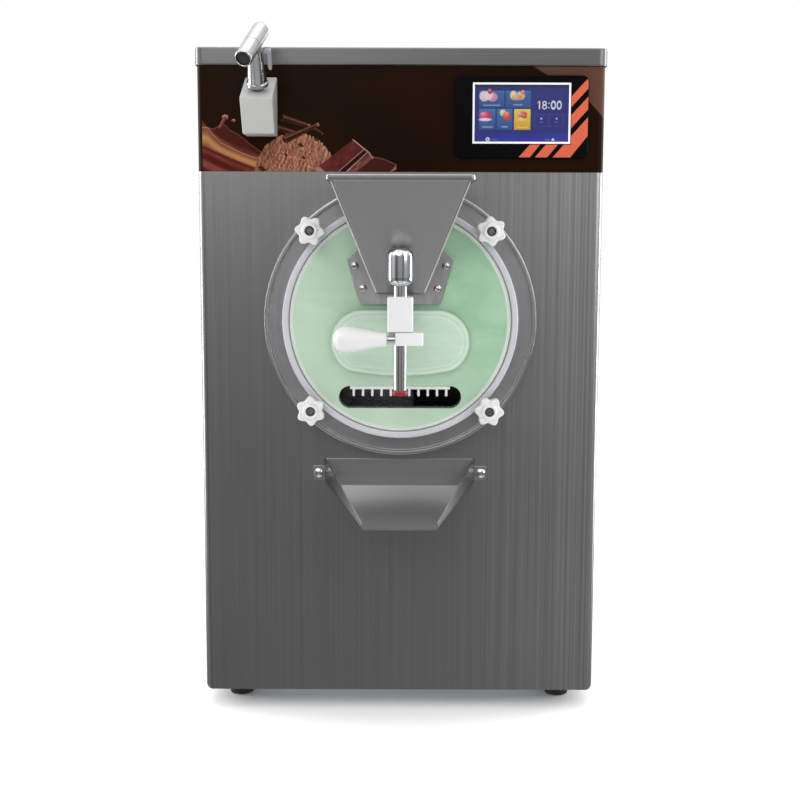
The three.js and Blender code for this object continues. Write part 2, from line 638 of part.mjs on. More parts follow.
function makeKnobs() {
  const count = 24;
  const { radius, lobe, lobes, from, to } = KNOB;
  const star = new THREE.Shape(
    Array.from({ length: count }, (_, i) => {
      const angle = (2 * HALF_TURN * i) / count;
      const r = radius + lobe * Math.cos(lobes * angle);
      return new THREE.Vector2(r * Math.cos(angle), r * Math.sin(angle));
    }),
  );
  for (const [name, x, z] of knobPlaces()) {
    const lobed = forward(star, from + 3, to - 5).translate(x, 0, z);
    const hub = turnedAtDoor([[0, from], [10, from], [11, to - 5], [7.5, to], [0, to]], 18, x, z);
    const hole = rodAtDoor(holeFor(STUD.radius), from - 1, to + 1, x, z);
    piece(name, cut(join(lobed, hub), hole), whitePlastic);
  }
}

// ---- gate and its lever ---------------------------------------------------------------------------
function makeGate() {
  const endRadius = 34;
  const [endX, endZ] = [GATE.halfWidth - endRadius, GATE.top - endRadius];
  const tip = Math.atan2(30, 16);
  const [cornerX, cornerZ] = [endX + endRadius * Math.cos(tip), endZ - endRadius * Math.sin(tip)];
  const outline = new THREE.Shape();
  outline.moveTo(-endX, GATE.top);
  outline.lineTo(endX, GATE.top);
  outline.absarc(endX, endZ, endRadius, QUARTER_TURN, -tip, true);
  outline.quadraticCurveTo(0, 2 * GATE.bottom - cornerZ, -cornerX, cornerZ);
  outline.absarc(-endX, endZ, endRadius, tip - HALF_TURN, QUARTER_TURN, true);
  const plate = forward(outline, GATE.back, GATE.front, 10);
  const key = boxAt(-KEY.halfWidth, KEY.halfWidth, KEY.back, GATE.back + 1, KEY.bottom, KEY.top);
  piece("gate_plate", join(plate, key), clearPlastic);

  const { halfWidth: half } = BLOCK;
  const rodY = FRONT - ROD.reach;
  const blockPlan = roundedRectangle(-half, half, FRONT - BLOCK.front, FRONT - GATE.front - GAP, 3, 0);
  const rodHole = rodUpright(ROD.radius + GAP, 400, 500, 0, rodY);
  piece("gate_block", cut(upward(blockPlan, BLOCK.bottom, BLOCK.top, 3), rodHole), whitePlastic);

  const rod = turnedUpright(
    [[0, ROD.bottom - 5.8], [4.5, ROD.bottom - 5.8], [4.5, ROD.bottom], [ROD.radius, ROD.bottom + 0.6],
      [ROD.radius, ROD.top], [0, ROD.top]],
    FINE, 0, rodY,
  );
  piece("lift_rod", rod, chrome);
  const knobBottom = ROD.top + GAP;
  const knob = turnedUpright(
    [[0, knobBottom], [8.5, knobBottom], [13.5, knobBottom + 6], [13.5, knobBottom + 31],
      [10, knobBottom + 37], [0, knobBottom + 38.7]],
    FINE, 0, rodY,
  );
  piece("lift_knob", knob, chrome);
  const stop = turnedUpright(
    [[4.8, ROD.bottom - 5.3], [8, ROD.bottom - 5.3], [8.5, ROD.bottom - 4.4], [8.5, ROD.bottom - 1.2],
      [8, ROD.bottom - GAP], [4.8, ROD.bottom - GAP]],
    FINE, 0, rodY,
  );
  piece("rod_ring", stop, redRubber);
}

function makeLever() {
  const rodY = FRONT - ROD.reach;
  const { halfWidth: half } = BLOCK;
  const collarPlan = roundedRectangle(-half, COLLAR.nose, FRONT - COLLAR.front, rodY + half, 3, 3);
  const notch = boxAt(-half - 1, -5, COLLAR.front - 8, COLLAR.front + 1, COLLAR.bottom - 1, COLLAR.top + 1);
  const hole = rodUpright(holeFor(ROD.radius), COLLAR.bottom - 1, COLLAR.top + 1, 0, rodY);
  piece("lock_collar", cut(upward(collarPlan, COLLAR.bottom, COLLAR.top, 3), notch, hole), whitePlastic);

  // A solid of revolution about X through the lever's axis, from [radius, x] points.
  const alongLever = (profile, sides) =>
    turned(profile, sides).rotateZ(-QUARTER_TURN).translate(0, FRONT - LEVER.reach, LEVER.height);
  const { start, end } = LEVER;
  const studEnd = -5 - GAP;
  const stud = alongLever([[0, start], [3.7, start], [3.7, studEnd], [0, studEnd]], 16);
  piece("lever_stud", stud, chrome);
  const grip = alongLever(
    [[0, end], [6.5, end + 1.2], [11, end + 5], [13.2, end + 12], [13.4, end + 18], [12, end + 27],
      [9.2, end + 38], [7.4, end + 47], [7.2, start - GAP - 1.5], [6.2, start - GAP], [0, start - GAP]],
    FINE,
  );
  piece("lever_grip", grip, whitePlastic);
}

// ---- chute ------------------------------------------------------------------------------------------
function makeChute() {
  const lip = 95;
  const [backTop, backFloor, frontTop, frontFloor] = [290, 258, 236, 229];
  const [halfBack, halfFront] = [84, 40];
  const wall = SHEET + 0.3;
  // Four corners of a sloping quadrilateral: half width, reach and height at the front and the back.
  const slope = (front, reach1, z1, rear, reach0, z0) => [
    [-front, FRONT - reach1, z1],
    [front, FRONT - reach1, z1],
    [rear, FRONT - reach0, z0],
    [-rear, FRONT - reach0, z0],
  ];
  const shell = block(
    slope(halfFront, lip, frontFloor, halfBack, GAP, backFloor),
    slope(halfFront, lip, frontTop, halfBack, GAP, backTop),
  );
  const [rise, run] = [40, 5]; // how far the hollow goes on past the top and the lip
  const [front, rear, web] = [halfFront - wall, halfBack - wall, SHEET + GAP];
  const hollow = block(
    slope(front, lip + run, frontFloor + wall - 1.5, rear, web, backFloor + wall),
    slope(front, lip + run, frontTop + rise, rear, web, backTop + rise),
  );
  const tabs = [-1, 1].map((side) =>
    forward(roundedRectangle(side * 89 - 8, side * 89 + 8, 265, 281, 3), GAP, GAP + SHEET, 3),
  );
  const screw = [[0, GAP + 1], [5.3, GAP + 1], [5.3, GAP + 2.4], [3.6, GAP + 4], [0, GAP + 4.4]];
  const screws = [-1, 1].map((side) => turnedAtDoor(screw, 12, side * 90.5, 273));
  piece("drip_chute", join(cut(shell, hollow), ...tabs, ...screws), polishedSteel);
}

// ---- hand sprayer -------------------------------------------------------------------------------------
function makeSprayer() {
  const holderHalf = 17;
  const profile = polygon([
    [FRONT - GAP, 641], [FRONT - GAP, 704], [FRONT - 55, 676], [FRONT - 32, 641],
  ]);
  const holder = sideways(profile, SPRAYER.x - holderHalf, SPRAYER.x + holderHalf);
  const seat = new THREE.Matrix4()
    .makeTranslation(SPRAYER.x, FRONT - SPRAYER.reach, SPRAYER.height)
    .multiply(new THREE.Matrix4().makeRotationX(SPRAYER.lean));
  const socket = rodUpright(6.6, -36, 30, 0, 0).applyMatrix4(seat);
  const hoseWay = rodAtDoor(6, -1, 18, SPRAYER.x, HOSE_HEIGHT, 12);
  piece("spray_holder", cut(holder, socket, hoseWay), whitePlastic);

  // The sprayer in its own frame: +Z along the handle, which leans forwards out of the holder.
  const sprayer = new THREE.Group();
  sprayer.position.set(SPRAYER.x, FRONT - SPRAYER.reach, SPRAYER.height);
  sprayer.rotation.x = SPRAYER.lean;
  machine.add(sprayer);
  const base = 3;
  const headRadius = 9;
  const headHeight = 52;
  const handle = turnedUpright(
    [[0, -34], [6, -34], [6, base], [11.5, base], [11.5, base + 4], [10, base + 9],
      [7.8, headHeight - 10.2], [0, headHeight - 10.2]],
    FINE,
  );
  piece("spray_handle", handle, chrome, sprayer);

  const head = new THREE.Group();
  head.position.z = headHeight;
  head.rotation.z = THREE.MathUtils.degToRad(-10.7);
  sprayer.add(head);
  const [mouth, rear] = [-40, 30];
  const barrel = turned(
    [[7, mouth], [8.4, mouth], [headRadius, mouth + 1], [headRadius, rear - 4], [6.5, rear], [0, rear],
      [0, mouth + 14], [7, mouth + 14]],
    FINE,
  );
  piece("spray_head", barrel, chrome, head);

  const trigger = box(12.6, 16.5, -4.5, 4.5, 22, 44);
  piece("spray_trigger", join(trigger, box(9.2, 14, -3.5, 3.5, 40.5, 44)), greyPlastic, sprayer);

  const hose = tube(
    [
      [SPRAYER.x, FRONT - 10, HOSE_HEIGHT], [SPRAYER.x, FRONT + 15, HOSE_HEIGHT],
      [SPRAYER.x - 12, FRONT + 90, HOSE_HEIGHT - 6], [SPRAYER.x - 18, 0, HOSE_HEIGHT - 12],
      [SPRAYER.x - 10, BACK - 110, HOSE_HEIGHT - 6], [SPRAYER.x, BACK - 40, HOSE_HEIGHT],
      [SPRAYER.x, BACK - 8, HOSE_HEIGHT],
    ],
    4.5, 20,
  );
  piece("spray_hose", hose, hoseWhite);
}

// ---- rear fittings --------------------------------------------------------------------------------------
function makeRearFittings() {
  const { x, bottom, top, halfWidth } = POWER;
  const flangeOutline = roundedRectangle(x - halfWidth, x + halfWidth, bottom, top, 4);
  const flange = forward(flangeOutline, 0, 3, 3).translate(0, BACK - FRONT + GAP + 3, 0);
  const body = box(x - 14.5, x + 14.5, BACK - 22, BACK + 1, bottom + 3, top - 3);
  const socket = box(x - 12.2, x + 12.2, BACK - 17, BACK + 5, bottom + 9, bottom + 27);
  const rockerWindow = box(x - 7.3, x + 7.3, BACK - 12, BACK + 5, top - 37, top - 9);
  piece("power_inlet", cut(join(flange, body), socket, rockerWindow), blackPlastic);

  // The rocker is pressed in at its lower end.
  const pivotZ = top - 23;
  const pivotY = BACK - 2;
  const side = polygon([[5, 12], [8, 0], [5, -12], [-4, -12], [-6, 0], [-4, 12]]);
  const rocker = sideways(side, x - 7, x + 7).rotateX(-ROCKER_TILT);
  piece("main_switch", rocker.translate(0, pivotY, pivotZ), redRubber);

  const inlet = turned(
    [[4.5, BACK - 6], [7, BACK - 6], [7, BACK + GAP], [13, BACK + GAP], [13, BACK + 4], [10, BACK + 4.5],
      [10, BACK + REAR_REACH], [5, BACK + REAR_REACH], [5, BACK + 2]],
    16,
  );
  piece("water_inlet", inlet.translate(SPRAYER.x, 0, HOSE_HEIGHT), brass);
}

makeFront();
makeSides();
makeRear();
makeLid();
makeBase();
makeDisplay();
makeBarrel();
makeBeater();
makeDrive();
makeCooling();
makeDoor();
makeHopper();
makeKnobs();
makeGate();
makeLever();
makeChute();
makeSprayer();
makeRearFittings();

export default machine;
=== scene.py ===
"""Looks of a countertop batch freezer: every visible piece and finish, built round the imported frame.

Lengths are metres. The frame gives the places; sizes that only the looks need are named here. A
"reach" is a distance in front of the cabinet's front face, which looks along -Y.
"""

import json
import math

import bmesh
import bpy
import numpy as np
from bpy.props import FloatProperty, FloatVectorProperty, IntProperty, PointerProperty
from mathutils import Matrix, Vector


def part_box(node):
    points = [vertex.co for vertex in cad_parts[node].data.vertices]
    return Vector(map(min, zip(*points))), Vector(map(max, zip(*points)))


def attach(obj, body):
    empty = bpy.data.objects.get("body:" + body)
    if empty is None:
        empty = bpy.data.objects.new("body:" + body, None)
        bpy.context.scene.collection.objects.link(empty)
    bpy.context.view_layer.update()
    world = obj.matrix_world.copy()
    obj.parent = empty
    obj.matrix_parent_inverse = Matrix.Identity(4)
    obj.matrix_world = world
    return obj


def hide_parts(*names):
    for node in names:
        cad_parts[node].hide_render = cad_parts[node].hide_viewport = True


bl_info = {
    "name": "Batch Freezer",
    "version": (1, 0, 0),
    "blender": (4, 5, 0),
    "location": "View3D > Sidebar > Freezer",
    "description": "Builds the pieces and finishes of a countertop batch freezer",
    "category": "Add Mesh",
}

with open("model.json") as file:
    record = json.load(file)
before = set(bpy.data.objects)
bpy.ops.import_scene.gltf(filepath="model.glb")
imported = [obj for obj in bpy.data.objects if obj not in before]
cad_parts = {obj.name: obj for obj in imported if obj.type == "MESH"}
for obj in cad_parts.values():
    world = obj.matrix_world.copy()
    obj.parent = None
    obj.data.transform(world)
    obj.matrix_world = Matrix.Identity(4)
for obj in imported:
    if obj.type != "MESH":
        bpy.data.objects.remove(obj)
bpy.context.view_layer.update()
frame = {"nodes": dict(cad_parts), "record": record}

MM = 0.001
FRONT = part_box("front_panel")[0][1]
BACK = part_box("rear_panel")[1][1]
HALF_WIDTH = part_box("front_panel")[1][0]
BODY_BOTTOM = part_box("front_panel")[0][2]
FASCIA_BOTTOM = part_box("fascia_panel")[0][2]
FASCIA_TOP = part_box("fascia_panel")[1][2]
FLANGE_LOW, FLANGE_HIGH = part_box("barrel_flange")
AXIS_HEIGHT = (FLANGE_LOW[2] + FLANGE_HIGH[2]) / 2
# The way from the hopper through the bracket and the disc into the cylinder.
THROAT_HALF, THROAT_LOW, THROAT_HIGH = 18 * MM, 476 * MM, 498 * MM
# Turns a drawing in local X and Y to face the front: local Z becomes the reach.
FACING = Matrix(((1, 0, 0, 0), (0, 0, -1, 0), (0, 1, 0, 0), (0, 0, 0, 1)))
# Each door knob, and the angle in radians at which its lobes stand when it is tight.
KNOBS = {
    "upper_left_knob": 0.10,
    "upper_right_knob": 0.42,
    "lower_left_knob": 0.47,
    "lower_right_knob": 0.08,
}
# The domed head of a sheet screw with its round socket, as (radius, height) in millimetres.
SCREW_HEAD = [(0, 0), (4.4, 0), (4.4, 0.4), (3.6, 1.1), (2, 1.5), (1.2, 1.5), (1.1, 0.9), (0, 0.9)]


def facing(reach=0.0, x=0.0, z=0.0):
    """The matrix that stands a drawing at a reach in front of the cabinet, facing the front."""
    return Matrix.Translation((x, FRONT - reach, z)) @ FACING


def middle(node):
    """The centre of a node's box."""
    low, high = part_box(node)
    return [(a + b) / 2 for a, b in zip(low, high)]


# ---- outlines --------------------------------------------------------------------------------


def rounded(points, radius, steps=5, closed=True):
    """The outline with its corners rounded; radius is one number or one for each corner.

    A corner that is nearly straight stays as it is, and no rounding takes half of a side."""
    count = len(points)
    radii = radius if isinstance(radius, (list, tuple)) else [radius] * count
    out = []
    for i, point in enumerate(points):
        corner = Vector(point)
        if radii[i] <= 0 or (not closed and i in (0, count - 1)):
            out.append(tuple(corner))
            continue
        to_last, to_next = Vector(points[i - 1]) - corner, Vector(points[(i + 1) % count]) - corner
        before, after = to_last.normalized(), to_next.normalized()
        half = before.angle(after) / 2
        if half > math.radians(88):
            out.append(tuple(corner))
            continue
        limit = 0.49 * min(to_last.length, to_next.length)
        back = min(radii[i] / math.tan(half), limit)
        true_radius = back * math.tan(half)
        centre = corner + (before + after).normalized() * (true_radius / math.sin(half))
        start = corner + before * back - centre
        end = corner + after * back - centre
        turn = start.angle_signed(end)
        for k in range(steps + 1):
            arm = start.copy()
            arm.rotate(Matrix.Rotation(-turn * k / steps, 2))
            out.append(tuple(centre + arm))
    return out


def rectangle(x0, x1, y0, y1):
    """The four corners of a rectangle, counter-clockwise."""
    return [(x0, y0), (x1, y0), (x1, y1), (x0, y1)]


def circle(radius, count=96, x=0.0, y=0.0):
    """Points round a circle, counter-clockwise."""
    turns = (2 * math.pi * i / count for i in range(count))
    return [(x + radius * math.cos(a), y + radius * math.sin(a)) for a in turns]


def flowing(points, per_span=6):
    """A smooth open line through the points (Catmull-Rom)."""
    knots = [Vector(p) for p in points]
    knots = [2 * knots[0] - knots[1]] + knots + [2 * knots[-1] - knots[-2]]
    out = []
    for i in range(1, len(knots) - 2):
        a, b, c, d = knots[i - 1 : i + 3]
        for k in range(per_span):
            t = k / per_span
            square, cube = 2 * a - 5 * b + 4 * c - d, 3 * b - a - 3 * c + d
            out.append(0.5 * (2 * b + (c - a) * t + square * t * t + cube * t**3))
    out.append(knots[-2])
    return [tuple(p) for p in out]


# ---- meshes ----------------------------------------------------------------------------------


def add_mesh(name, verts, faces, matrix=None):
    """A new object at the origin; its faces are turned outwards."""
    mesh = bpy.data.meshes.new(name)
    mesh.from_pydata([tuple(v) for v in verts], [], faces)
    work = bmesh.new()
    work.from_mesh(mesh)
    bmesh.ops.remove_doubles(work, verts=work.verts, dist=1e-7)
    bmesh.ops.dissolve_degenerate(work, edges=work.edges, dist=1e-8)
    bmesh.ops.recalc_face_normals(work, faces=work.faces)
    if matrix is not None:
        work.transform(matrix)
    work.to_mesh(mesh)
    work.free()
    obj = bpy.data.objects.new(name, mesh)
    bpy.context.scene.collection.objects.link(obj)
    return obj


def lathe(name, profile, matrix, segments=96):
    """A solid of revolution about local Z from (radius, height) points."""
    on_axis = profile[0][0] < 1e-9 and profile[-1][0] < 1e-9
    verts, rings = [], []
    for radius, height in profile:
        if radius < 1e-9:
            rings.append([len(verts)] * segments)
            verts.append((0, 0, height))
            continue
        rings.append(list(range(len(verts), len(verts) + segments)))
        verts += [(x, y, height) for x, y in circle(radius, segments)]
    pairs = list(zip(rings, rings[1:]))
    if not on_axis:
        pairs.append((rings[-1], rings[0]))
    faces = []
    for low, high in pairs:
        for i in range(segments):
            j = (i + 1) % segments
            corners = list(dict.fromkeys((low[i], low[j], high[j], high[i])))
            if len(corners) > 2:
                faces.append(corners)
    return add_mesh(name, verts, faces, matrix)


def loft(name, loops, matrix=None, closed=False):
    """A skin over rings of equal length; its ends are capped unless it closes on itself."""
    count = len(loops[0])
    verts = [v for loop in loops for v in loop]
    starts = [i * count for i in range(len(loops))]
    pairs = list(zip(starts, starts[1:]))
    if closed:
        pairs.append((starts[-1], starts[0]))
    faces = []
    for low, high in pairs:
        for i in range(count):
            j = (i + 1) % count
            faces.append((low + i, low + j, high + j, high + i))
    if not closed:
        faces += [list(range(count)), list(range(starts[-1], starts[-1] + count))]
    return add_mesh(name, verts, faces, matrix)


def prism(name, outline, height, matrix):
    """An outline in local X and Y, extruded along local Z."""
    return loft(name, [[(x, y, 0) for x, y in outline], [(x, y, height) for x, y in outline]], matrix)


def plate(name, loops, thickness, edge, matrix, steps=3):
    """A flat plate with holes and rounded edges: the first loop is the outline, the rest are holes."""
    curve = bpy.data.curves.new(name, "CURVE")
    curve.dimensions = "2D"
    curve.fill_mode = "BOTH"
    curve.extrude = max(thickness / 2 - edge, 0)
    curve.bevel_depth = edge
    curve.bevel_resolution = steps
    curve.offset = -edge
    for loop in loops:
        spline = curve.splines.new("POLY")
        spline.points.add(len(loop) - 1)
        spline.use_cyclic_u = True
        for point, (x, y) in zip(spline.points, loop):
            point.co = (x, y, 0, 1)
    source = bpy.data.objects.new(name + "_curve", curve)
    bpy.context.scene.collection.objects.link(source)
    mesh = bpy.data.meshes.new_from_object(source.evaluated_get(bpy.context.evaluated_depsgraph_get()))
    bpy.data.objects.remove(source)
    verts = [v.co + Vector((0, 0, thickness / 2)) for v in mesh.vertices]
    faces = [list(p.vertices) for p in mesh.polygons]
    bpy.data.meshes.remove(mesh)
    return add_mesh(name, verts, faces, matrix)


def apply_modifiers(obj):
    """Turns the object's modifiers into its mesh."""
    graph = bpy.context.evaluated_depsgraph_get()
    mesh = bpy.data.meshes.new_from_object(obj.evaluated_get(graph))
    old = obj.data
    obj.modifiers.clear()
    obj.data = mesh
    bpy.data.meshes.remove(old)
    return obj


def carve(obj, cutter, operation="DIFFERENCE"):
    """Cuts obj by another mesh, which is used up."""
    boolean = obj.modifiers.new("cut", "BOOLEAN")
    boolean.operation = operation
    boolean.solver = "EXACT"
    boolean.object = cutter
    apply_modifiers(obj)
    bpy.data.objects.remove(cutter)
    return obj


def soften(obj, width, steps=3, angle=32):
    """Rounds every edge sharper than the angle."""
    bevel = obj.modifiers.new("edges", "BEVEL")
    bevel.width = width
    bevel.segments = steps
    bevel.limit_method = "ANGLE"
    bevel.angle_limit = math.radians(angle)
    bevel.use_clamp_overlap = True
    return apply_modifiers(obj)


def brick(name, x0, x1, y0, y1, z0, z1, edge=0.0, steps=3, matrix=None):
    """A box between two corners, with rounded edges if edge is given."""
    low = [(x0, y0, z0), (x1, y0, z0), (x1, y1, z0), (x0, y1, z0)]
    obj = loft(name, [low, [(x, y, z1) for x, y, _ in low]], matrix)
    return soften(obj, edge, steps) if edge else obj


def merge(name, parts):
    """Joins several meshes into one object."""
    work = bmesh.new()
    for part in parts:
        work.from_mesh(part.data)
        bpy.data.objects.remove(part)
    mesh = bpy.data.meshes.new(name)
    work.to_mesh(mesh)
    work.free()
    obj = bpy.data.objects.new(name, mesh)
    bpy.context.scene.collection.objects.link(obj)
    return obj


def finish_piece(obj, body, material, replaces=(), sharp=35):
    """Gives a finished mesh its shading, material and body."""
    obj.data.materials.clear()
    obj.data.materials.append(material)
    obj.data.shade_smooth()
    obj.data.set_sharp_from_angle(angle=math.radians(sharp))
    flat = obj.modifiers.new("flat", "WEIGHTED_NORMAL")
    flat.keep_sharp = True
    apply_modifiers(obj)
    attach(obj, body)
    if replaces:
        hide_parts(*replaces)
    return obj


# ---- repeats, by Geometry Nodes ----------------------------------------------------------------


def row_tree():
    """A node group that repeats its geometry in a row: inputs Count, Offset and Finish."""
    if "Row" in bpy.data.node_groups:
        return bpy.data.node_groups["Row"]
    tree = bpy.data.node_groups.new("Row", "GeometryNodeTree")
    face = tree.interface
    face.new_socket("Geometry", in_out="INPUT", socket_type="NodeSocketGeometry")
    count = face.new_socket("Count", in_out="INPUT", socket_type="NodeSocketInt")
    count.default_value = 2
    count.min_value = 1
    face.new_socket("Offset", in_out="INPUT", socket_type="NodeSocketVector")
    face.new_socket("Finish", in_out="INPUT", socket_type="NodeSocketMaterial")
    face.new_socket("Geometry", in_out="OUTPUT", socket_type="NodeSocketGeometry")
    start = tree.nodes.new("NodeGroupInput")
    line = tree.nodes.new("GeometryNodeMeshLine")
    copies = tree.nodes.new("GeometryNodeInstanceOnPoints")
    real = tree.nodes.new("GeometryNodeRealizeInstances")
    paint = tree.nodes.new("GeometryNodeSetMaterial")
    end = tree.nodes.new("NodeGroupOutput")
    link = tree.links.new
    link(start.outputs["Count"], line.inputs["Count"])
    link(start.outputs["Offset"], line.inputs["Offset"])
    link(line.outputs["Mesh"], copies.inputs["Points"])
    link(start.outputs["Geometry"], copies.inputs["Instance"])
    link(copies.outputs["Instances"], real.inputs["Geometry"])
    link(real.outputs["Geometry"], paint.inputs["Geometry"])
    link(start.outputs["Finish"], paint.inputs["Material"])
    link(paint.outputs["Geometry"], end.inputs["Geometry"])
    return tree


def in_a_row(obj, count, offset, material):
    """Repeats the mesh count times, each moved on by offset, as one plain mesh."""
    tree = row_tree()
    modifier = obj.modifiers.new("row", "NODES")
    modifier.node_group = tree
    values = {"Count": count, "Offset": offset, "Finish": material}
    for item in tree.interface.items_tree:
        if item.in_out == "INPUT" and item.name in values:
            modifier[item.identifier] = values[item.name]
    return apply_modifiers(obj)


# ---- finishes ----------------------------------------------------------------------------------


class Finish:
    """A node material on Object coordinates, with the few nodes that most finishes share."""

    def __init__(self, name, **sockets):
        self.material = bpy.data.materials.new(name)
        self.material.use_nodes = True
        self.tree = self.material.node_tree
        self.shader = self.tree.nodes["Principled BSDF"]
        for label, value in sockets.items():
            self.shader.inputs[label.replace("_", " ")].default_value = value
        self.place = self.node("ShaderNodeTexCoord").outputs["Object"]

    def node(self, kind, inputs=None, **settings):
        """A new node, with its inputs linked or set."""
        made = self.tree.nodes.new(kind)
        for key, value in settings.items():
            setattr(made, key, value)
        for key, value in (inputs or {}).items():
            socket = made.inputs[key]
            if isinstance(value, bpy.types.NodeSocket):
                self.tree.links.new(value, socket)
            else:
                socket.default_value = value
        return made

    def mapped(self, scale, centre=(0, 0, 0)):
        """Object coordinates about a centre, stretched by scale."""
        moved = self.node("ShaderNodeVectorMath", {0: self.place, 1: centre}, operation="SUBTRACT")
        inputs = {0: moved.outputs[0], 1: scale}
        return self.node("ShaderNodeVectorMath", inputs, operation="MULTIPLY").outputs[0]

    def rings(self, fine, along, centre):
        """Coordinates for brushing round the Y axis through centre."""
        flat = self.mapped((1, 0, 1), centre)
        radius = self.node("ShaderNodeVectorMath", {0: flat}, operation="LENGTH").outputs["Value"]
        turn = self.node("ShaderNodeVectorMath", {0: flat}, operation="NORMALIZE").outputs[0]
        turn = self.node("ShaderNodeVectorMath", {0: turn, "Scale": along}, operation="SCALE").outputs[0]
        radial = self.node("ShaderNodeMath", {0: radius, 1: fine}, operation="MULTIPLY").outputs[0]
        push = self.node("ShaderNodeCombineXYZ", {"Y": radial}).outputs[0]
        return self.node("ShaderNodeVectorMath", {0: turn, 1: push}, operation="ADD").outputs[0], radius

    def noise(self, vector, scale=1.0, detail=4.0, roughness=0.55, distortion=0.0):
        """Fractal noise, mostly between 0.3 and 0.7."""
        inputs = {
            "Vector": vector, "Scale": scale, "Detail": detail, "Roughness": roughness,
            "Distortion": distortion,
        }
        return self.node("ShaderNodeTexNoise", inputs).outputs["Fac"]

    def spread(self, value, low, high, start=0.3, end=0.7):
        """The value from start to end, spread over low to high."""
        inputs = {"Value": value, "From Min": start, "From Max": end, "To Min": low, "To Max": high}
        return self.node("ShaderNodeMapRange", inputs).outputs["Result"]

    def math(self, operation, a, b=0.0):
        """One sum on two sockets or numbers."""
        return self.node("ShaderNodeMath", {0: a, 1: b}, operation=operation).outputs[0]

    def mix(self, factor, a, b):
        """Colour a to colour b by the factor."""
        made = self.node("ShaderNodeMix", data_type="RGBA", blend_type="MIX")
        for socket, value in zip((made.inputs[0], made.inputs[6], made.inputs[7]), (factor, a, b)):
            if isinstance(value, bpy.types.NodeSocket):
                self.tree.links.new(value, socket)
            else:
                socket.default_value = value if isinstance(value, float) else (*value[:3], 1)
        return made.outputs[2]

    def colour(self, socket):
        """Links the base colour."""
        self.tree.links.new(socket, self.shader.inputs["Base Color"])

    def rough(self, socket):
        """Links the roughness."""
        self.tree.links.new(socket, self.shader.inputs["Roughness"])

    def bump(self, height, strength, distance):
        """Adds relief on top of any there is."""
        made = self.node("ShaderNodeBump", {"Height": height, "Strength": strength, "Distance": distance})
        last = self.shader.inputs["Normal"].links
        if last:
            self.tree.links.new(last[0].from_socket, made.inputs["Normal"])
        self.tree.links.new(made.outputs[0], self.shader.inputs["Normal"])


def brushed(name, tone, streak=(1500, 1500, 3), rough=(0.32, 0.39), bump=0.05, cloud=0.09, lines=None):
    """Brushed sheet steel; streak is the grain's fineness along X, Y and Z.

    Between the two values of X in lines the sheet comes to show single light and dark lines."""
    made = Finish(name, Metallic=1.0)
    fine = made.noise(made.mapped(streak), detail=3.0)
    coarse = made.noise(made.mapped([s * 0.4 for s in streak]), detail=2.0)
    clouds = made.noise(made.place, 3.0, detail=1.0)
    grain = made.math("ADD", made.math("MULTIPLY", fine, 0.7), made.math("MULTIPLY", coarse, 0.3))
    dark = [c * (1 - cloud) for c in tone]
    light = [min(c * (1 + cloud), 1) for c in tone]
    base = made.mix(made.spread(grain, 0.0, 1.0), dark, light)
    base = made.mix(made.spread(clouds, 0.0, 0.3), base, [c * 0.9 for c in tone])
    if lines:
        across = made.node("ShaderNodeSeparateXYZ", {0: made.place}).outputs["X"]
        single = made.noise(made.mapped([s * 0.25 for s in streak]), detail=3.0, roughness=0.7)
        amount = made.math("MULTIPLY", made.spread(across, 0.0, 1.0, *lines), made.spread(single, 0.0, 0.8))
        base = made.mix(amount, base, [min(c * 2.1, 1) for c in tone])
    made.colour(base)
    made.rough(made.math("ADD", made.spread(grain, *rough), made.spread(clouds, -0.03, 0.04)))
    made.bump(grain, bump, 0.0002)
    return made.material


def turned_steel(name, tone, centre, rough=(0.26, 0.38), fine=1400.0):
    """Steel brushed in circles about the cylinder's axis."""
    made = Finish(name, Metallic=1.0)
    rings, _ = made.rings(fine, 1.5, centre)
    grain = made.noise(rings, detail=3.0)
    clouds = made.noise(made.place, 22.0, detail=5.0)
    base = made.mix(made.spread(grain, 0.0, 1.0), [c * 0.92 for c in tone], tone)
    made.colour(made.mix(made.spread(clouds, 0.0, 1.0, 0.35, 0.65), base, [c * 0.72 for c in tone]))
    made.rough(made.math("ADD", made.spread(grain, *rough), made.spread(clouds, -0.06, 0.10)))
    made.bump(grain, 0.05, 0.0002)
    return made.material


def polished(name, tone, rough=(0.1, 0.2), scale=60.0, bump=0.03):
    """Polished metal with faint smears."""
    made = Finish(name, Metallic=1.0)
    smears = made.noise(made.mapped((scale, scale, scale * 0.25)), detail=5.0)
    hazes = made.noise(made.place, 18.0, detail=2.0)
    made.colour(made.mix(made.spread(smears, 0.0, 1.0), [c * 0.93 for c in tone], tone))
    made.rough(made.math("ADD", made.spread(smears, *rough), made.spread(hazes, 0.0, 0.05)))
    made.bump(smears, bump, 0.0003)
    return made.material


def moulded(name, tone, rough=(0.3, 0.42), scale=900.0, bump=0.08, shade=0.94, cloud=12.0, **sockets):
    """Moulded plastic or rubber: a fine skin, and a little variation of tone and gloss."""
    made = Finish(name, **sockets)
    skin = made.noise(made.place, scale, detail=2.0)
    clouds = made.noise(made.place, cloud, detail=4.0)
    made.colour(made.mix(made.spread(clouds, 0.0, 1.0), [c * shade for c in tone], tone))
    made.rough(made.math("ADD", made.spread(skin, *rough), made.spread(clouds, -0.03, 0.05)))
    made.bump(skin, bump, 0.0001)
    return made.material


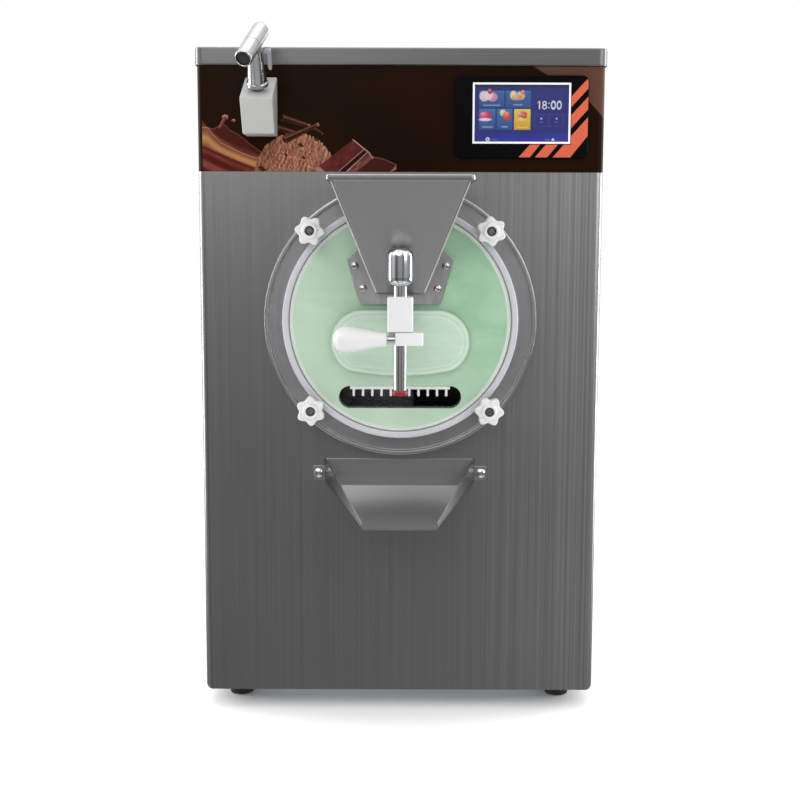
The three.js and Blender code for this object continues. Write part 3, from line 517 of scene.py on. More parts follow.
def above(made, edge, points):
    """1 above a line that bends downwards through the points in X and Z, else 0, with an edge this soft."""
    parts = made.node("ShaderNodeSeparateXYZ", {0: made.place}).outputs
    over = 0.0
    for (x0, z0), (x1, z1) in zip(points, points[1:]):
        length = math.hypot(x1 - x0, z1 - z0)
        nx, nz = (z0 - z1) / length, (x1 - x0) / length
        a = made.math("MULTIPLY", parts["X"], nx)
        b = made.math("MULTIPLY", parts["Z"], nz)
        distance = made.math("SUBTRACT", made.math("ADD", a, b), x0 * nx + z0 * nz)
        over = made.math("MAXIMUM", over, made.spread(distance, 0.0, 1.0, -edge / 2, edge / 2))
    return over


def fascia_film(name, dark, brown, painted=False):
    """The printed film: a dark brown ground with a lighter field at the right."""
    made = Finish(name, Specular_IOR_Level=0.05)
    depth = made.noise(made.mapped((7, 7, 16)), detail=3.0)
    ground = made.mix(made.spread(depth, 0.0, 1.0), dark, [c * 1.5 for c in dark])
    line = [(0.1334, FASCIA_TOP + 5 * MM), (0.1595, 0.7056), (0.2019, 0.6797), (0.2240, 0.6567)]
    colour = made.mix(above(made, 0.8 * MM, line), ground, brown)
    if painted:
        paint = made.node("ShaderNodeAttribute", attribute_name="paint").outputs
        colour = made.mix(paint["Alpha"], colour, paint["Color"])
    made.colour(colour)
    skin = made.noise(made.place, 500.0, detail=2.0)
    made.rough(made.spread(skin, 0.26, 0.38))
    made.bump(skin, 0.03, 0.0001)
    return made.material


def srgb(*values):
    """A colour in 0 to 255 screen values, as the linear numbers that shaders take."""
    return tuple(v / 255 / 12.92 if v <= 10 else ((v / 255 + 0.055) / 1.055) ** 2.4 for v in values)


def milky_door(name, light, dark):
    """Thick translucent plastic, milky in the middle and clear round its edge, with painted shade darkening
    it towards the upper right.
    """
    made = Finish(name, Coat_Weight=0.8, Coat_Roughness=0.06, Specular_IOR_Level=0.55)
    parts = made.node("ShaderNodeSeparateXYZ", {0: made.place}).outputs
    # From the light to the dark colour towards the upper right: painted shade, as cast by the hopper.
    rise_to_shade = made.math("MULTIPLY", made.math("SUBTRACT", parts["Z"], AXIS_HEIGHT), 0.7)
    across = made.math("ADD", parts["X"], rise_to_shade)
    ground = made.mix(made.spread(across, 0.0, 1.0, -0.08, 0.15), light, dark)
    swirl = made.noise(made.mapped((9, 9, 24)), detail=5.0, distortion=1.2)
    ground = made.mix(made.spread(swirl, 0.0, 0.4), ground, [min(c * 1.25, 1) for c in light])
    _, radius = made.rings(900.0, 1.0, (0, 0, AXIS_HEIGHT))
    clear = made.spread(radius, 0.0, 1.0, 114.2 * MM, 115.2 * MM)
    made.colour(made.mix(clear, ground, srgb(196, 204, 196)))
    haze = made.noise(made.place, 40.0, detail=4.0)
    made.rough(made.spread(haze, 0.14, 0.26))
    made.bump(haze, 0.02, 0.0004)
    return made.material


def clear_plate(name, tint):
    """Clear polycarbonate with a faint green edge tint and fine wiping marks."""
    made = Finish(name, Transmission_Weight=0.3, IOR=1.45, Coat_Weight=0.6, Coat_Roughness=0.04)
    marks = made.noise(made.mapped((60, 60, 240)), detail=5.0)
    made.colour(made.mix(made.spread(marks, 0.0, 1.0), [c * 0.93 for c in tint], tint))
    made.rough(made.spread(marks, 0.05, 0.12))
    made.bump(marks, 0.02, 0.0003)
    return made.material


def spangled(name, tone):
    """Zinc-coated sheet with its patches of crystals."""
    made = Finish(name, Metallic=1.0)
    cells = made.node("ShaderNodeTexVoronoi", {"Vector": made.place, "Scale": 130.0}).outputs["Color"]
    patch = made.node("ShaderNodeSeparateColor", {0: cells}).outputs[0]
    made.colour(made.mix(patch, [c * 0.8 for c in tone], [min(c * 1.15, 1) for c in tone]))
    made.rough(made.spread(patch, 0.34, 0.52, 0.0, 1.0))
    made.bump(patch, 0.05, 0.0002)
    return made.material


def finned(name, tone):
    """A pack of thin aluminium fin plates, with painted shade in the gaps between them."""
    made = Finish(name, Metallic=1.0)
    fins_and_gap_shade = made.node("ShaderNodeTexWave", {"Vector": made.mapped((420, 0, 0)), "Scale": 1.0}).outputs["Fac"]
    dust = made.noise(made.place, 30.0, detail=5.0)
    # The wave darkens the gaps between the fin plates to 0.3 of the tone: painted shade.
    base = made.mix(fins_and_gap_shade, [c * 0.3 for c in tone], tone)
    made.colour(made.mix(made.spread(dust, 0.0, 0.5), base, srgb(120, 116, 108)))
    made.rough(made.spread(dust, 0.35, 0.6))
    made.bump(fins_and_gap_shade, 0.4, 0.0008)
    return made.material


def printed(name, glow=0.0, shade=0.0, **sockets):
    """Shows the piece's painted picture, darkened by shade, with a slight unevenness in the ink."""
    made = Finish(name, **sockets)
    paint = made.node("ShaderNodeAttribute", attribute_name="paint").outputs["Color"]
    ink = made.noise(made.place, 700.0, detail=2.0)
    colour = made.mix(made.spread(ink, shade, shade + 0.08), paint, (0, 0, 0))
    made.colour(colour)
    made.rough(made.spread(ink, 0.05, 0.12))
    made.bump(ink, 0.01, 0.0001)
    if glow:
        made.shader.inputs["Emission Strength"].default_value = glow
        made.tree.links.new(colour, made.shader.inputs["Emission Color"])
    return made.material


def make_finishes(tones):
    """Every finish, in place of the frame's plain colours; one for a slot has the slot's name."""
    for plain in list(bpy.data.materials):
        bpy.data.materials.remove(plain)
    axis = (0, 0, AXIS_HEIGHT)
    steel, film, brown = tuple(tones.steel), tuple(tones.film), tuple(tones.film_field)
    white = srgb(206, 206, 206)
    brushed("cabinet_steel", steel)
    brushed("front_steel", [c * 1.02 for c in steel], lines=(0.06, 0.26))
    brushed("lid_steel", [c * 0.62 for c in steel], streak=(4, 1100, 1100))
    turned_steel("flange_steel", (0.60, 0.60, 0.61), axis)
    polished("food_steel", (0.62, 0.62, 0.62), rough=(0.16, 0.28))
    brushed("hopper_steel", (0.34, 0.34, 0.34), streak=(700, 700, 12), rough=(0.33, 0.42), cloud=0.06)
    brushed("chute_steel", (0.46, 0.46, 0.46), streak=(5, 1500, 1500), rough=(0.28, 0.36))
    polished("satin_chrome", (0.46, 0.46, 0.465), rough=(0.14, 0.24))
    moulded("rose_black", (0.012, 0.012, 0.012), rough=(0.4, 0.6), scale=2600.0, bump=0.5)
    polished("stud_steel", (0.36, 0.36, 0.36), rough=(0.2, 0.34))
    # edge_steel is a far brighter copy of the hopper's steel: painted highlights on the beads along its side
    # edges.
    polished("edge_steel", (0.95, 0.95, 0.95), rough=(0.28, 0.4))
    polished("bracket_steel", (0.58, 0.58, 0.58), rough=(0.20, 0.46), scale=130.0, bump=0.16)
    polished("bright_chrome", (0.80, 0.81, 0.83), rough=(0.03, 0.10))
    polished("copper_tube", srgb(196, 122, 82), rough=(0.2, 0.34))
    polished("brass", srgb(198, 170, 96), rough=(0.18, 0.3))
    spangled("galvanised_steel", (0.52, 0.54, 0.56))
    finned("fin_pack", (0.66, 0.67, 0.68))
    fascia_film("fascia_film", film, brown)
    fascia_film("fascia_print", film, brown, painted=True)
    # The door's second colour is painted shade at the upper right of the disc.
    milky_door("door_polycarbonate", srgb(164, 187, 165), srgb(116, 163, 128))
    # gate_edge is pale and bright for the gate's two edge lines, which are painted highlights.
    clear_plate("gate_edge", srgb(228, 238, 230))
    clear_plate("gate_clear", srgb(206, 230, 209))
    printed("screen_glass", glow=0.2, shade=0.5, Coat_Weight=1.0, Coat_Roughness=0.03)
    moulded("white_nylon", white, Subsurface_Weight=0.06, Subsurface_Scale=0.004)
    moulded("ring_white", srgb(180, 180, 184), rough=(0.25, 0.4))
    # holder_white is the white plastic made greyer: painted shade for the holder's face, which leans down
    # towards the floor.
    moulded("holder_white", srgb(172, 172, 170), Subsurface_Weight=0.06, Subsurface_Scale=0.004)
    moulded("silicone", srgb(206, 209, 204), rough=(0.4, 0.52))
    moulded(
        "bezel_black", (0.003, 0.003, 0.0035), rough=(0.1, 0.2), bump=0.02, shade=0.7,
        Specular_IOR_Level=0.05,
    )
    moulded("orange_print", srgb(196, 88, 60), rough=(0.2, 0.3), bump=0.02)
    moulded("white_print", srgb(232, 234, 238), rough=(0.2, 0.3), bump=0.02)
    moulded("foot_rubber", (0.014, 0.014, 0.015), rough=(0.5, 0.7), bump=0.2, shade=0.7)
    moulded("black_rubber", (0.016, 0.016, 0.016), rough=(0.6, 0.8), bump=0.3, shade=0.7)
    moulded("black_paint", (0.020, 0.021, 0.022), rough=(0.3, 0.45), scale=260.0, bump=0.1, shade=0.8)
    moulded("motor_paint", srgb(52, 84, 116), rough=(0.34, 0.5), scale=200.0, bump=0.2, shade=0.85)
    moulded("fan_plastic", (0.018, 0.018, 0.019), rough=(0.38, 0.5), shade=0.75)
    moulded("foam", srgb(218, 202, 150), rough=(0.8, 0.95), scale=320.0, bump=0.8, shade=0.8, cloud=40.0)
    moulded("red_rubber", srgb(138, 14, 18), rough=(0.3, 0.42), shade=0.85)
    moulded("rocker_red", srgb(188, 22, 24), rough=(0.2, 0.3), shade=0.9, Coat_Weight=0.3)
    moulded("trigger_grey", srgb(128, 131, 134), rough=(0.34, 0.46))
    moulded("hose_white", srgb(222, 224, 226), rough=(0.4, 0.5))
    moulded(
        "floor_paper", srgb(244, 244, 244), rough=(0.7, 0.85), scale=300.0, bump=0.03, shade=0.985,
        cloud=2.0,
    )


def finish_nodes():
    """Puts each CAD node's finish on it, seen or hidden."""
    for part in frame["record"]["subparts"]:
        materials = frame["nodes"][part["node"]].data.materials
        materials.clear()
        materials.append(bpy.data.materials[part["material_slot"]])


# ---- cabinet -----------------------------------------------------------------------------------


def scaled(points):
    """Millimetres to metres."""
    return [tuple(c * MM for c in p) for p in points]


def folded_sheet(name, bottom, top, lower):
    """The front sheet: rounded vertical edges with a return, and rounded lower corners."""
    radius, wall, depth = 8 * MM, 1.5 * MM, 30 * MM
    half = HALF_WIDTH
    outer = rounded(
        [(-half, FRONT + depth), (-half, FRONT), (half, FRONT), (half, FRONT + depth)], radius, 10, False
    )
    inner = rounded(
        [(-half + wall, FRONT + depth), (-half + wall, FRONT + wall), (half - wall, FRONT + wall),
         (half - wall, FRONT + depth)],
        radius - wall, 10, False,
    )
    section = outer + inner[::-1]
    sheet = loft(name, [[(x, y, z) for x, y in section] for z in (bottom, top)])
    if lower:
        outline = rounded(rectangle(-half - MM, half + MM, bottom, top + MM), [lower, lower, 0, 0], 8)
        carve(sheet, prism("outline", outline, depth + 5 * MM, facing(-depth - 2 * MM)), "INTERSECT")
    return sheet


def build_cabinet(settings):
    """The folded front sheet and fascia, the lid, the feet, and the louvre hoods and screws of the sides."""
    steel, lid_steel = bpy.data.materials["cabinet_steel"], bpy.data.materials["lid_steel"]
    front = folded_sheet("front_sheet", BODY_BOTTOM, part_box("front_panel")[1][2], 9 * MM)
    carve(front, prism("bore", circle(120 * MM, 128), 20 * MM, facing(-10 * MM, z=AXIS_HEIGHT)))
    finish_piece(
        front, "cabinet", bpy.data.materials["front_steel"], ["front_panel"], sharp=30
    )

    fascia = folded_sheet("fascia_sheet", FASCIA_BOTTOM, FASCIA_TOP, 0)
    film = bpy.data.materials["fascia_film"]
    finish_piece(fascia, "cabinet", film, ["fascia_panel"], sharp=30)

    low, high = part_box("top_lid")
    outline = rounded(rectangle(low[0], high[0], low[1], high[1]), 10 * MM, 10)
    place = Matrix.Translation((0, 0, low[2]))
    lid = plate("lid_cap", [outline], high[2] - low[2], settings.lid_edge, place, 4)
    finish_piece(lid, "cabinet", lid_steel, ["top_lid"], sharp=40)

    pad = [
        (0, 0.6), (12.2, 0), (13.2, 0.6), (13.6, 2), (14.2, 9), (14.6, 9.6), (14.8, 19), (14.8, 21.7),
        (0, 22),
    ]
    for place in ("front_left", "front_right", "rear_left", "rear_right"):
        x, y, _ = middle(f"{place}_foot")
        foot = lathe(f"{place}_foot_pad", scaled(pad), Matrix.Translation((x, y, 0)), 48)
        finish_piece(foot, "cabinet", bpy.data.materials["foot_rubber"], [f"{place}_foot"])

    # Pressed hoods over the side louvres, and the screws that hold the side sheets.
    for side, word in ((-1, "left"), (1, "right")):
        node = f"{word}_side_panel"
        section = [
            (0, 0), (settings.hood, -1 * MM), (settings.hood, -3 * MM), (0.4 * MM, -8 * MM), (0, -8 * MM)
        ]
        loops = []
        for y, grow in (
            (-0.073, 0.15), (-0.070, 0.8), (-0.066, 1), (0.106, 1), (0.110, 0.8), (0.113, 0.15)
        ):
            loops.append([(side * (HALF_WIDTH - 0.1 * MM + x * grow), y, 0.0885 + z) for x, z in section])
        hood = in_a_row(loft(f"{word}_hoods", loops), 9, (0, 0, 18 * MM), steel)
        finish_piece(hood, "cabinet", steel)
        y0, y1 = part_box(node)[0][1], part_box(node)[1][1]
        turn = Matrix.Rotation(side * math.pi / 2, 4, "Y")
        rows = []
        for z in (0.045, 0.694):
            place = Matrix.Translation((side * (HALF_WIDTH + 0.05 * MM), y0 + 0.03, z)) @ turn
            screw = lathe("screw", scaled(SCREW_HEAD), place, 32)
            step = (y1 - y0 - 0.06) / 3
            rows.append(in_a_row(screw, 4, (0, step, 0), lid_steel))
        finish_piece(merge(f"{word}_screws", rows), "cabinet", lid_steel)


# ---- fascia print ---------------------------------------------------------------------------------


def painted_plate(name, x0, x1, z0, z1, reach, thickness, step, paint):
    """A thin closed plate with a picture: paint takes X and Z in millimetres and gives colour and alpha."""
    columns, rows = round((x1 - x0) / step) + 1, round((z1 - z0) / step) + 1
    xs, zs = np.linspace(x0, x1, columns), np.linspace(z0, z1, rows)
    grid_x, grid_z = np.meshgrid(xs, zs)
    front = np.stack([grid_x.ravel(), np.full(grid_x.size, -reach - thickness), grid_z.ravel()], 1)
    index = np.arange(columns * rows).reshape(rows, columns)
    quads = np.stack([index[:-1, :-1], index[:-1, 1:], index[1:, 1:], index[1:, :-1]], -1).reshape(-1, 4)
    edge = np.concatenate([index[0, :-1], index[:-1, -1], index[-1, :0:-1], index[:0:-1, 0]])
    back = front[edge].copy()
    back[:, 1] = -reach
    behind = np.arange(len(edge)) + len(front)
    sides = np.stack([edge, behind, np.roll(behind, -1), np.roll(edge, -1)], 1)
    verts = np.concatenate([front, back]) * MM + np.array([0, FRONT, 0])
    mesh = bpy.data.meshes.new(name)
    mesh.from_pydata(verts.tolist(), [], quads.tolist() + sides.tolist() + [behind[::-1].tolist()])
    colours = np.zeros((len(verts), 4), np.float32)
    colours[: len(front)] = paint(grid_x, grid_z).reshape(-1, 4)
    colours[len(front) :] = colours[edge]
    mesh.attributes.new("paint", "FLOAT_COLOR", "POINT").data.foreach_set("color", colours.ravel())
    obj = bpy.data.objects.new(name, mesh)
    bpy.context.scene.collection.objects.link(obj)
    return obj


class Picture:
    """A painting in numpy over a grid of places, in screen colours, with alpha."""

    def __init__(self, x, z, ground=None):
        self.x, self.z = x, z
        self.rgba = np.zeros((*x.shape, 4))
        if ground is not None:
            self.rgba[...] = (*ground, 1.0)
        self.random = np.random.default_rng(7)

    def lay(self, mask, colour):
        """Covers what is there by a colour, one for all or one for each place, as far as the mask says."""
        mask = np.clip(mask, 0, 1)[..., None]
        self.rgba[..., :3] = self.rgba[..., :3] * (1 - mask) + np.asarray(colour) * mask
        self.rgba[..., 3:] = np.maximum(self.rgba[..., 3:], mask)

    def shape(self, points, soft=0.3):
        """1 inside a convex outline given clockwise or counter-clockwise."""
        area = sum(a[0] * b[1] - b[0] * a[1] for a, b in zip(points, points[1:] + points[:1]))
        inside = np.ones_like(self.x)
        for (x0, z0), (x1, z1) in zip(points, points[1:] + points[:1]):
            across = (x1 - x0) * (self.z - z0) - (z1 - z0) * (self.x - x0)
            inside = np.minimum(inside, 0.5 + np.sign(area) * across / math.hypot(x1 - x0, z1 - z0) / soft)
        return np.clip(inside, 0, 1)

    def blob(self, x, z, rx, rz, soft=0.4):
        """1 inside an ellipse."""
        far = np.hypot((self.x - x) / rx, (self.z - z) / rz)
        return np.clip(0.5 + (1 - far) * min(rx, rz) / soft, 0, 1)

    def stroke(self, a, b, radius, soft=0.4):
        """1 along a thick line, and how far across it each place lies, from -1 to 1."""
        (x0, z0), (x1, z1) = a, b
        dx, dz = x1 - x0, z1 - z0
        length = math.hypot(dx, dz)
        t = np.clip(((self.x - x0) * dx + (self.z - z0) * dz) / length**2, 0, 1)
        far = np.hypot(self.x - x0 - t * dx, self.z - z0 - t * dz)
        across = (-(self.x - x0) * dz + (self.z - z0) * dx) / length / radius
        return np.clip(0.5 + (radius - far) / soft, 0, 1), np.clip(across, -1, 1)

    def grain(self, size, stretch=1.0, angle=0.0):
        """Smooth random values from 0 to 1, in lumps of this size."""
        c, s = math.cos(angle), math.sin(angle)
        u = (self.x * c + self.z * s) / (size * stretch) + 500
        v = (-self.x * s + self.z * c) / size + 500
        table = self.random.random((64, 64))
        i, j = np.floor(u).astype(int), np.floor(v).astype(int)
        fu, fv = u - i, v - j
        fu, fv = fu * fu * (3 - 2 * fu), fv * fv * (3 - 2 * fv)

        def at(di, dj):
            return table[(i + di) % 64, (j + dj) % 64]

        low = at(0, 0) * (1 - fu) + at(1, 0) * fu
        high = at(0, 1) * (1 - fu) + at(1, 1) * fu
        return low * (1 - fv) + high * fv

    def linear(self):
        """The painting as linear colour."""
        out = self.rgba.copy()
        value = np.clip(out[..., :3] / 255, 0, 1)
        out[..., :3] = np.where(value < 0.04, value / 12.92, ((value + 0.055) / 1.055) ** 2.4)
        return out


def blend(a, b, t):
    """Colour a to colour b, for each place's t."""
    t = np.clip(t, 0, 1)[..., None]
    return np.asarray(a) * (1 - t) + np.asarray(b) * t


def paint_fascia(x, z):
    """A splash of chocolate, a scoop of ice cream with rolls on it, and two blocks of chocolate."""
    art = Picture(x, z)
    # The splash falls from the upper left: a brown ribbon, a golden one under it, and dark folds below.
    at = [-217, -213, -209, -203, -197, -192, -188, -185, -178, -171, -163, -155, -146]
    crest = np.interp(x, at, [662, 655, 651, 649, 652, 655, 652, 648, 645, 640, 633.5, 628, 621])
    fold = np.interp(
        x, [-217, -209, -203, -194, -182, -171, -157, -146], [650, 650.5, 642.5, 634, 628, 623, 618, 615]
    )
    floor = np.interp(x, [-217, -209, -202, -186, -171, -157, -146], [631, 628.5, 625, 618, 612, 607, 604])
    streaks = art.grain(2.2, 9, -0.55)
    upper = blend((62, 22, 18), (122, 70, 50), (fold + 6 - z) / 9 + streaks * 0.5 - 0.2)
    middle_band = np.exp(-(((z - (fold + floor) / 2 + 1) / ((fold - floor) * 0.36)) ** 2))
    golden = blend((98, 50, 38), (158, 112, 70), middle_band + (streaks - 0.5) * 0.3)
    folds = 0.5 + 0.5 * np.sin((floor - z) / 2.6 + streaks * 1.6)
    lower = blend((66, 20, 18), (108, 52, 44), folds * np.clip((floor - z) / 5, 0, 1))
    colour = np.where((z > fold)[..., None], upper, np.where((z > floor)[..., None], golden, lower))
    for line, tone, wide in (
        (crest, (150, 100, 88), 0.8), (fold, (176, 124, 104), 0.5), (floor, (72, 28, 20), 0.9)
    ):
        colour = blend(colour, tone, np.exp(-(((z - line) / wide) ** 2)) * 0.85)
    art.lay(np.minimum((crest - z) / 0.6 + 0.5, (-120 - x) / 0.5), colour)
    for cx, cz, radius in ((-189.5, 661, 3.6), (-180.5, 657.6, 2.3)):
        lit = (z - cz + radius * 0.5) / radius
        art.lay(art.blob(cx, cz, radius, radius * 0.85), blend((84, 40, 40), (172, 124, 120), lit))
        art.lay(art.blob(cx - 0.3, cz - 0.3, radius * 0.5, radius * 0.4, 1.2), (98, 46, 40))
    neck, side = art.stroke((-195, 651), (-190.5, 659), 1.8)
    art.lay(neck, blend((86, 40, 36), (150, 98, 90), side * 0.5 + 0.3))
    # The scoop: ridges dragged slantwise, lit from the upper right, and dark chips.
    cx, cz, r = -114.0, 601.6, 43.6
    across = (x - cx) * math.sin(1.0) - (z - cz) * math.cos(1.0)
    wander = art.grain(9, 1.6, 1.0) * 9 + art.grain(3.2, 2.4, 1.0) * 3.4
    ridges = np.sin(across * 1.3 + wander)
    height = 0.42 * ridges + 1.15 * art.grain(2.1, 3.2, 1.0) + 0.8 * art.grain(1.1, 1.9, 1.2)
    slope_z, slope_x = np.gradient(height, abs(z[1, 0] - z[0, 0]), abs(x[0, 1] - x[0, 0]))
    shade = 0.45 - slope_x * 0.34 - slope_z * 0.30 + 0.14 * (height - 0.9)
    far = np.hypot(x - cx, z - cz)
    shade = shade + 0.22 * np.clip(far / r - 0.8, 0, 1) * np.sign(x - cx + 20)
    shade = shade - 0.1 * np.clip((cx - x) / r, 0, 1)
    colour = blend((54, 26, 18), (146, 98, 76), shade * 1.9)
    colour = blend(colour, (230, 188, 160), (shade - 0.55) * 1.9)
    art.lay(0.5 + (r + (height - 0.9) * 1.1 - far) / 0.9, colour)
    for px, pz, s in (
        (-108, 632.5, 3.6), (-124, 622, 2.6), (-105, 619, 2.6), (-91, 638, 2.8), (-150, 607.5, 4.6)
    ):
        chip = [
            (px - s, pz + s * 0.2), (px - s * 0.2, pz + s * 0.6), (px + s, pz - s * 0.5), (px, pz - s * 0.8)
        ]
        art.lay(art.shape(chip) * 0.92, (44, 20, 14))
    # Rolls of chocolate shavings, each narrowing to its far end, with ragged ends and fine lines.
    ragged = art.grain(0.9) - 0.5
    for a, b, near_end, far_end in (
        ((-133, 650), (-108, 643), 3.6, 2.6), ((-128, 661), (-98, 652), 4.0, 2.2),
        ((-94, 650), (-84, 644), 1.8, 1.0), ((-126, 637.5), (-88, 654.5), 4.4, 1.9),
    ):
        dx, dz = b[0] - a[0], b[1] - a[1]
        long = math.hypot(dx, dz)
        t = ((x - a[0]) * dx + (z - a[1]) * dz) / long**2
        wide = near_end + (far_end - near_end) * np.clip(t, 0, 1)
        v = ((z - a[1]) * dx - (x - a[0]) * dz) / long / wide
        body = np.minimum((1 - abs(v)) * wide / 0.5, np.minimum(t, 1 - t) * long / 0.5 + ragged * 3) + 0.5
        lines = 0.5 + 0.5 * np.sin(v * 9 + ragged * 1.5)
        sheen = np.exp(-(((v - 0.45) / 0.3) ** 2)) * 0.8 + np.exp(-(((v + 0.75) / 0.15) ** 2)) * 0.25
        colour = blend((34, 15, 10), (132, 84, 64), sheen * (0.7 + 0.3 * lines) + 0.18 * lines)
        colour = blend(colour, (176, 122, 88), np.exp(-(((t - 0.97) / 0.04) ** 2)) * 0.7)
        art.lay(body, colour)
        mouth = np.hypot((t * long + 0.2) / 1.3, v * wide / (wide * 0.8))
        art.lay((1.1 - mouth) * 2 + ragged, (26, 11, 8))
        art.lay(np.exp(-(((mouth - 1.15) / 0.2) ** 2)) * 0.6 * (abs(v) < 1.1), (150, 104, 84))
    # Two blocks: a face, a dark bevel and a lit side, with pale rims, and a second block behind.
    uneven = art.grain(3.0, 2.0, 0.7)
    art.lay(art.shape([(-30, 620), (-18.8, 617.6), (-4.4, 611.4), (-9.4, 604), (-50, 603)]), (66, 27, 26))
    art.lay(art.shape([(-4.4, 611.4), (-4.9, 606), (-12, 603.8), (-9.6, 606)]), (140, 92, 84))
    for a, b in (
        ((-30, 620), (-18.8, 617.6)), ((-18.8, 617.6), (-4.4, 611.4)), ((-4.4, 611.4), (-11, 604))
    ):
        art.lay(art.stroke(a, b, 0.4)[0] * 0.8, (150, 102, 94))
    face = [(-51.7, 638), (-39.6, 628.5), (-71, 602), (-90, 602), (-91, 608)]
    art.lay(art.shape(face), blend((74, 29, 28), (96, 44, 41), uneven))
    art.lay(art.shape([(-39.6, 628.5), (-35.7, 625.7), (-62, 602), (-71, 602)]), (44, 13, 12))
    art.lay(
        art.shape([(-34.2, 624.6), (-30.3, 618), (-50, 602), (-61, 602)]),
        blend((82, 42, 38), (132, 84, 76), uneven),
    )
    for a, b, wide in (((-51.7, 638), (-34.2, 624.2), 0.55), ((-34.2, 624.2), (-30.2, 618.3), 0.5),
                       ((-35.4, 625.2), (-61, 602), 0.5), ((-39.4, 628), (-70, 602), 0.3)):
        art.lay(art.stroke(a, b, wide)[0] * 0.9, (206, 162, 152))
    art.lay(art.shape([(-92, 608), (-88, 609), (-80, 602), (-92, 602)]), (150, 104, 96))
    return art.linear()


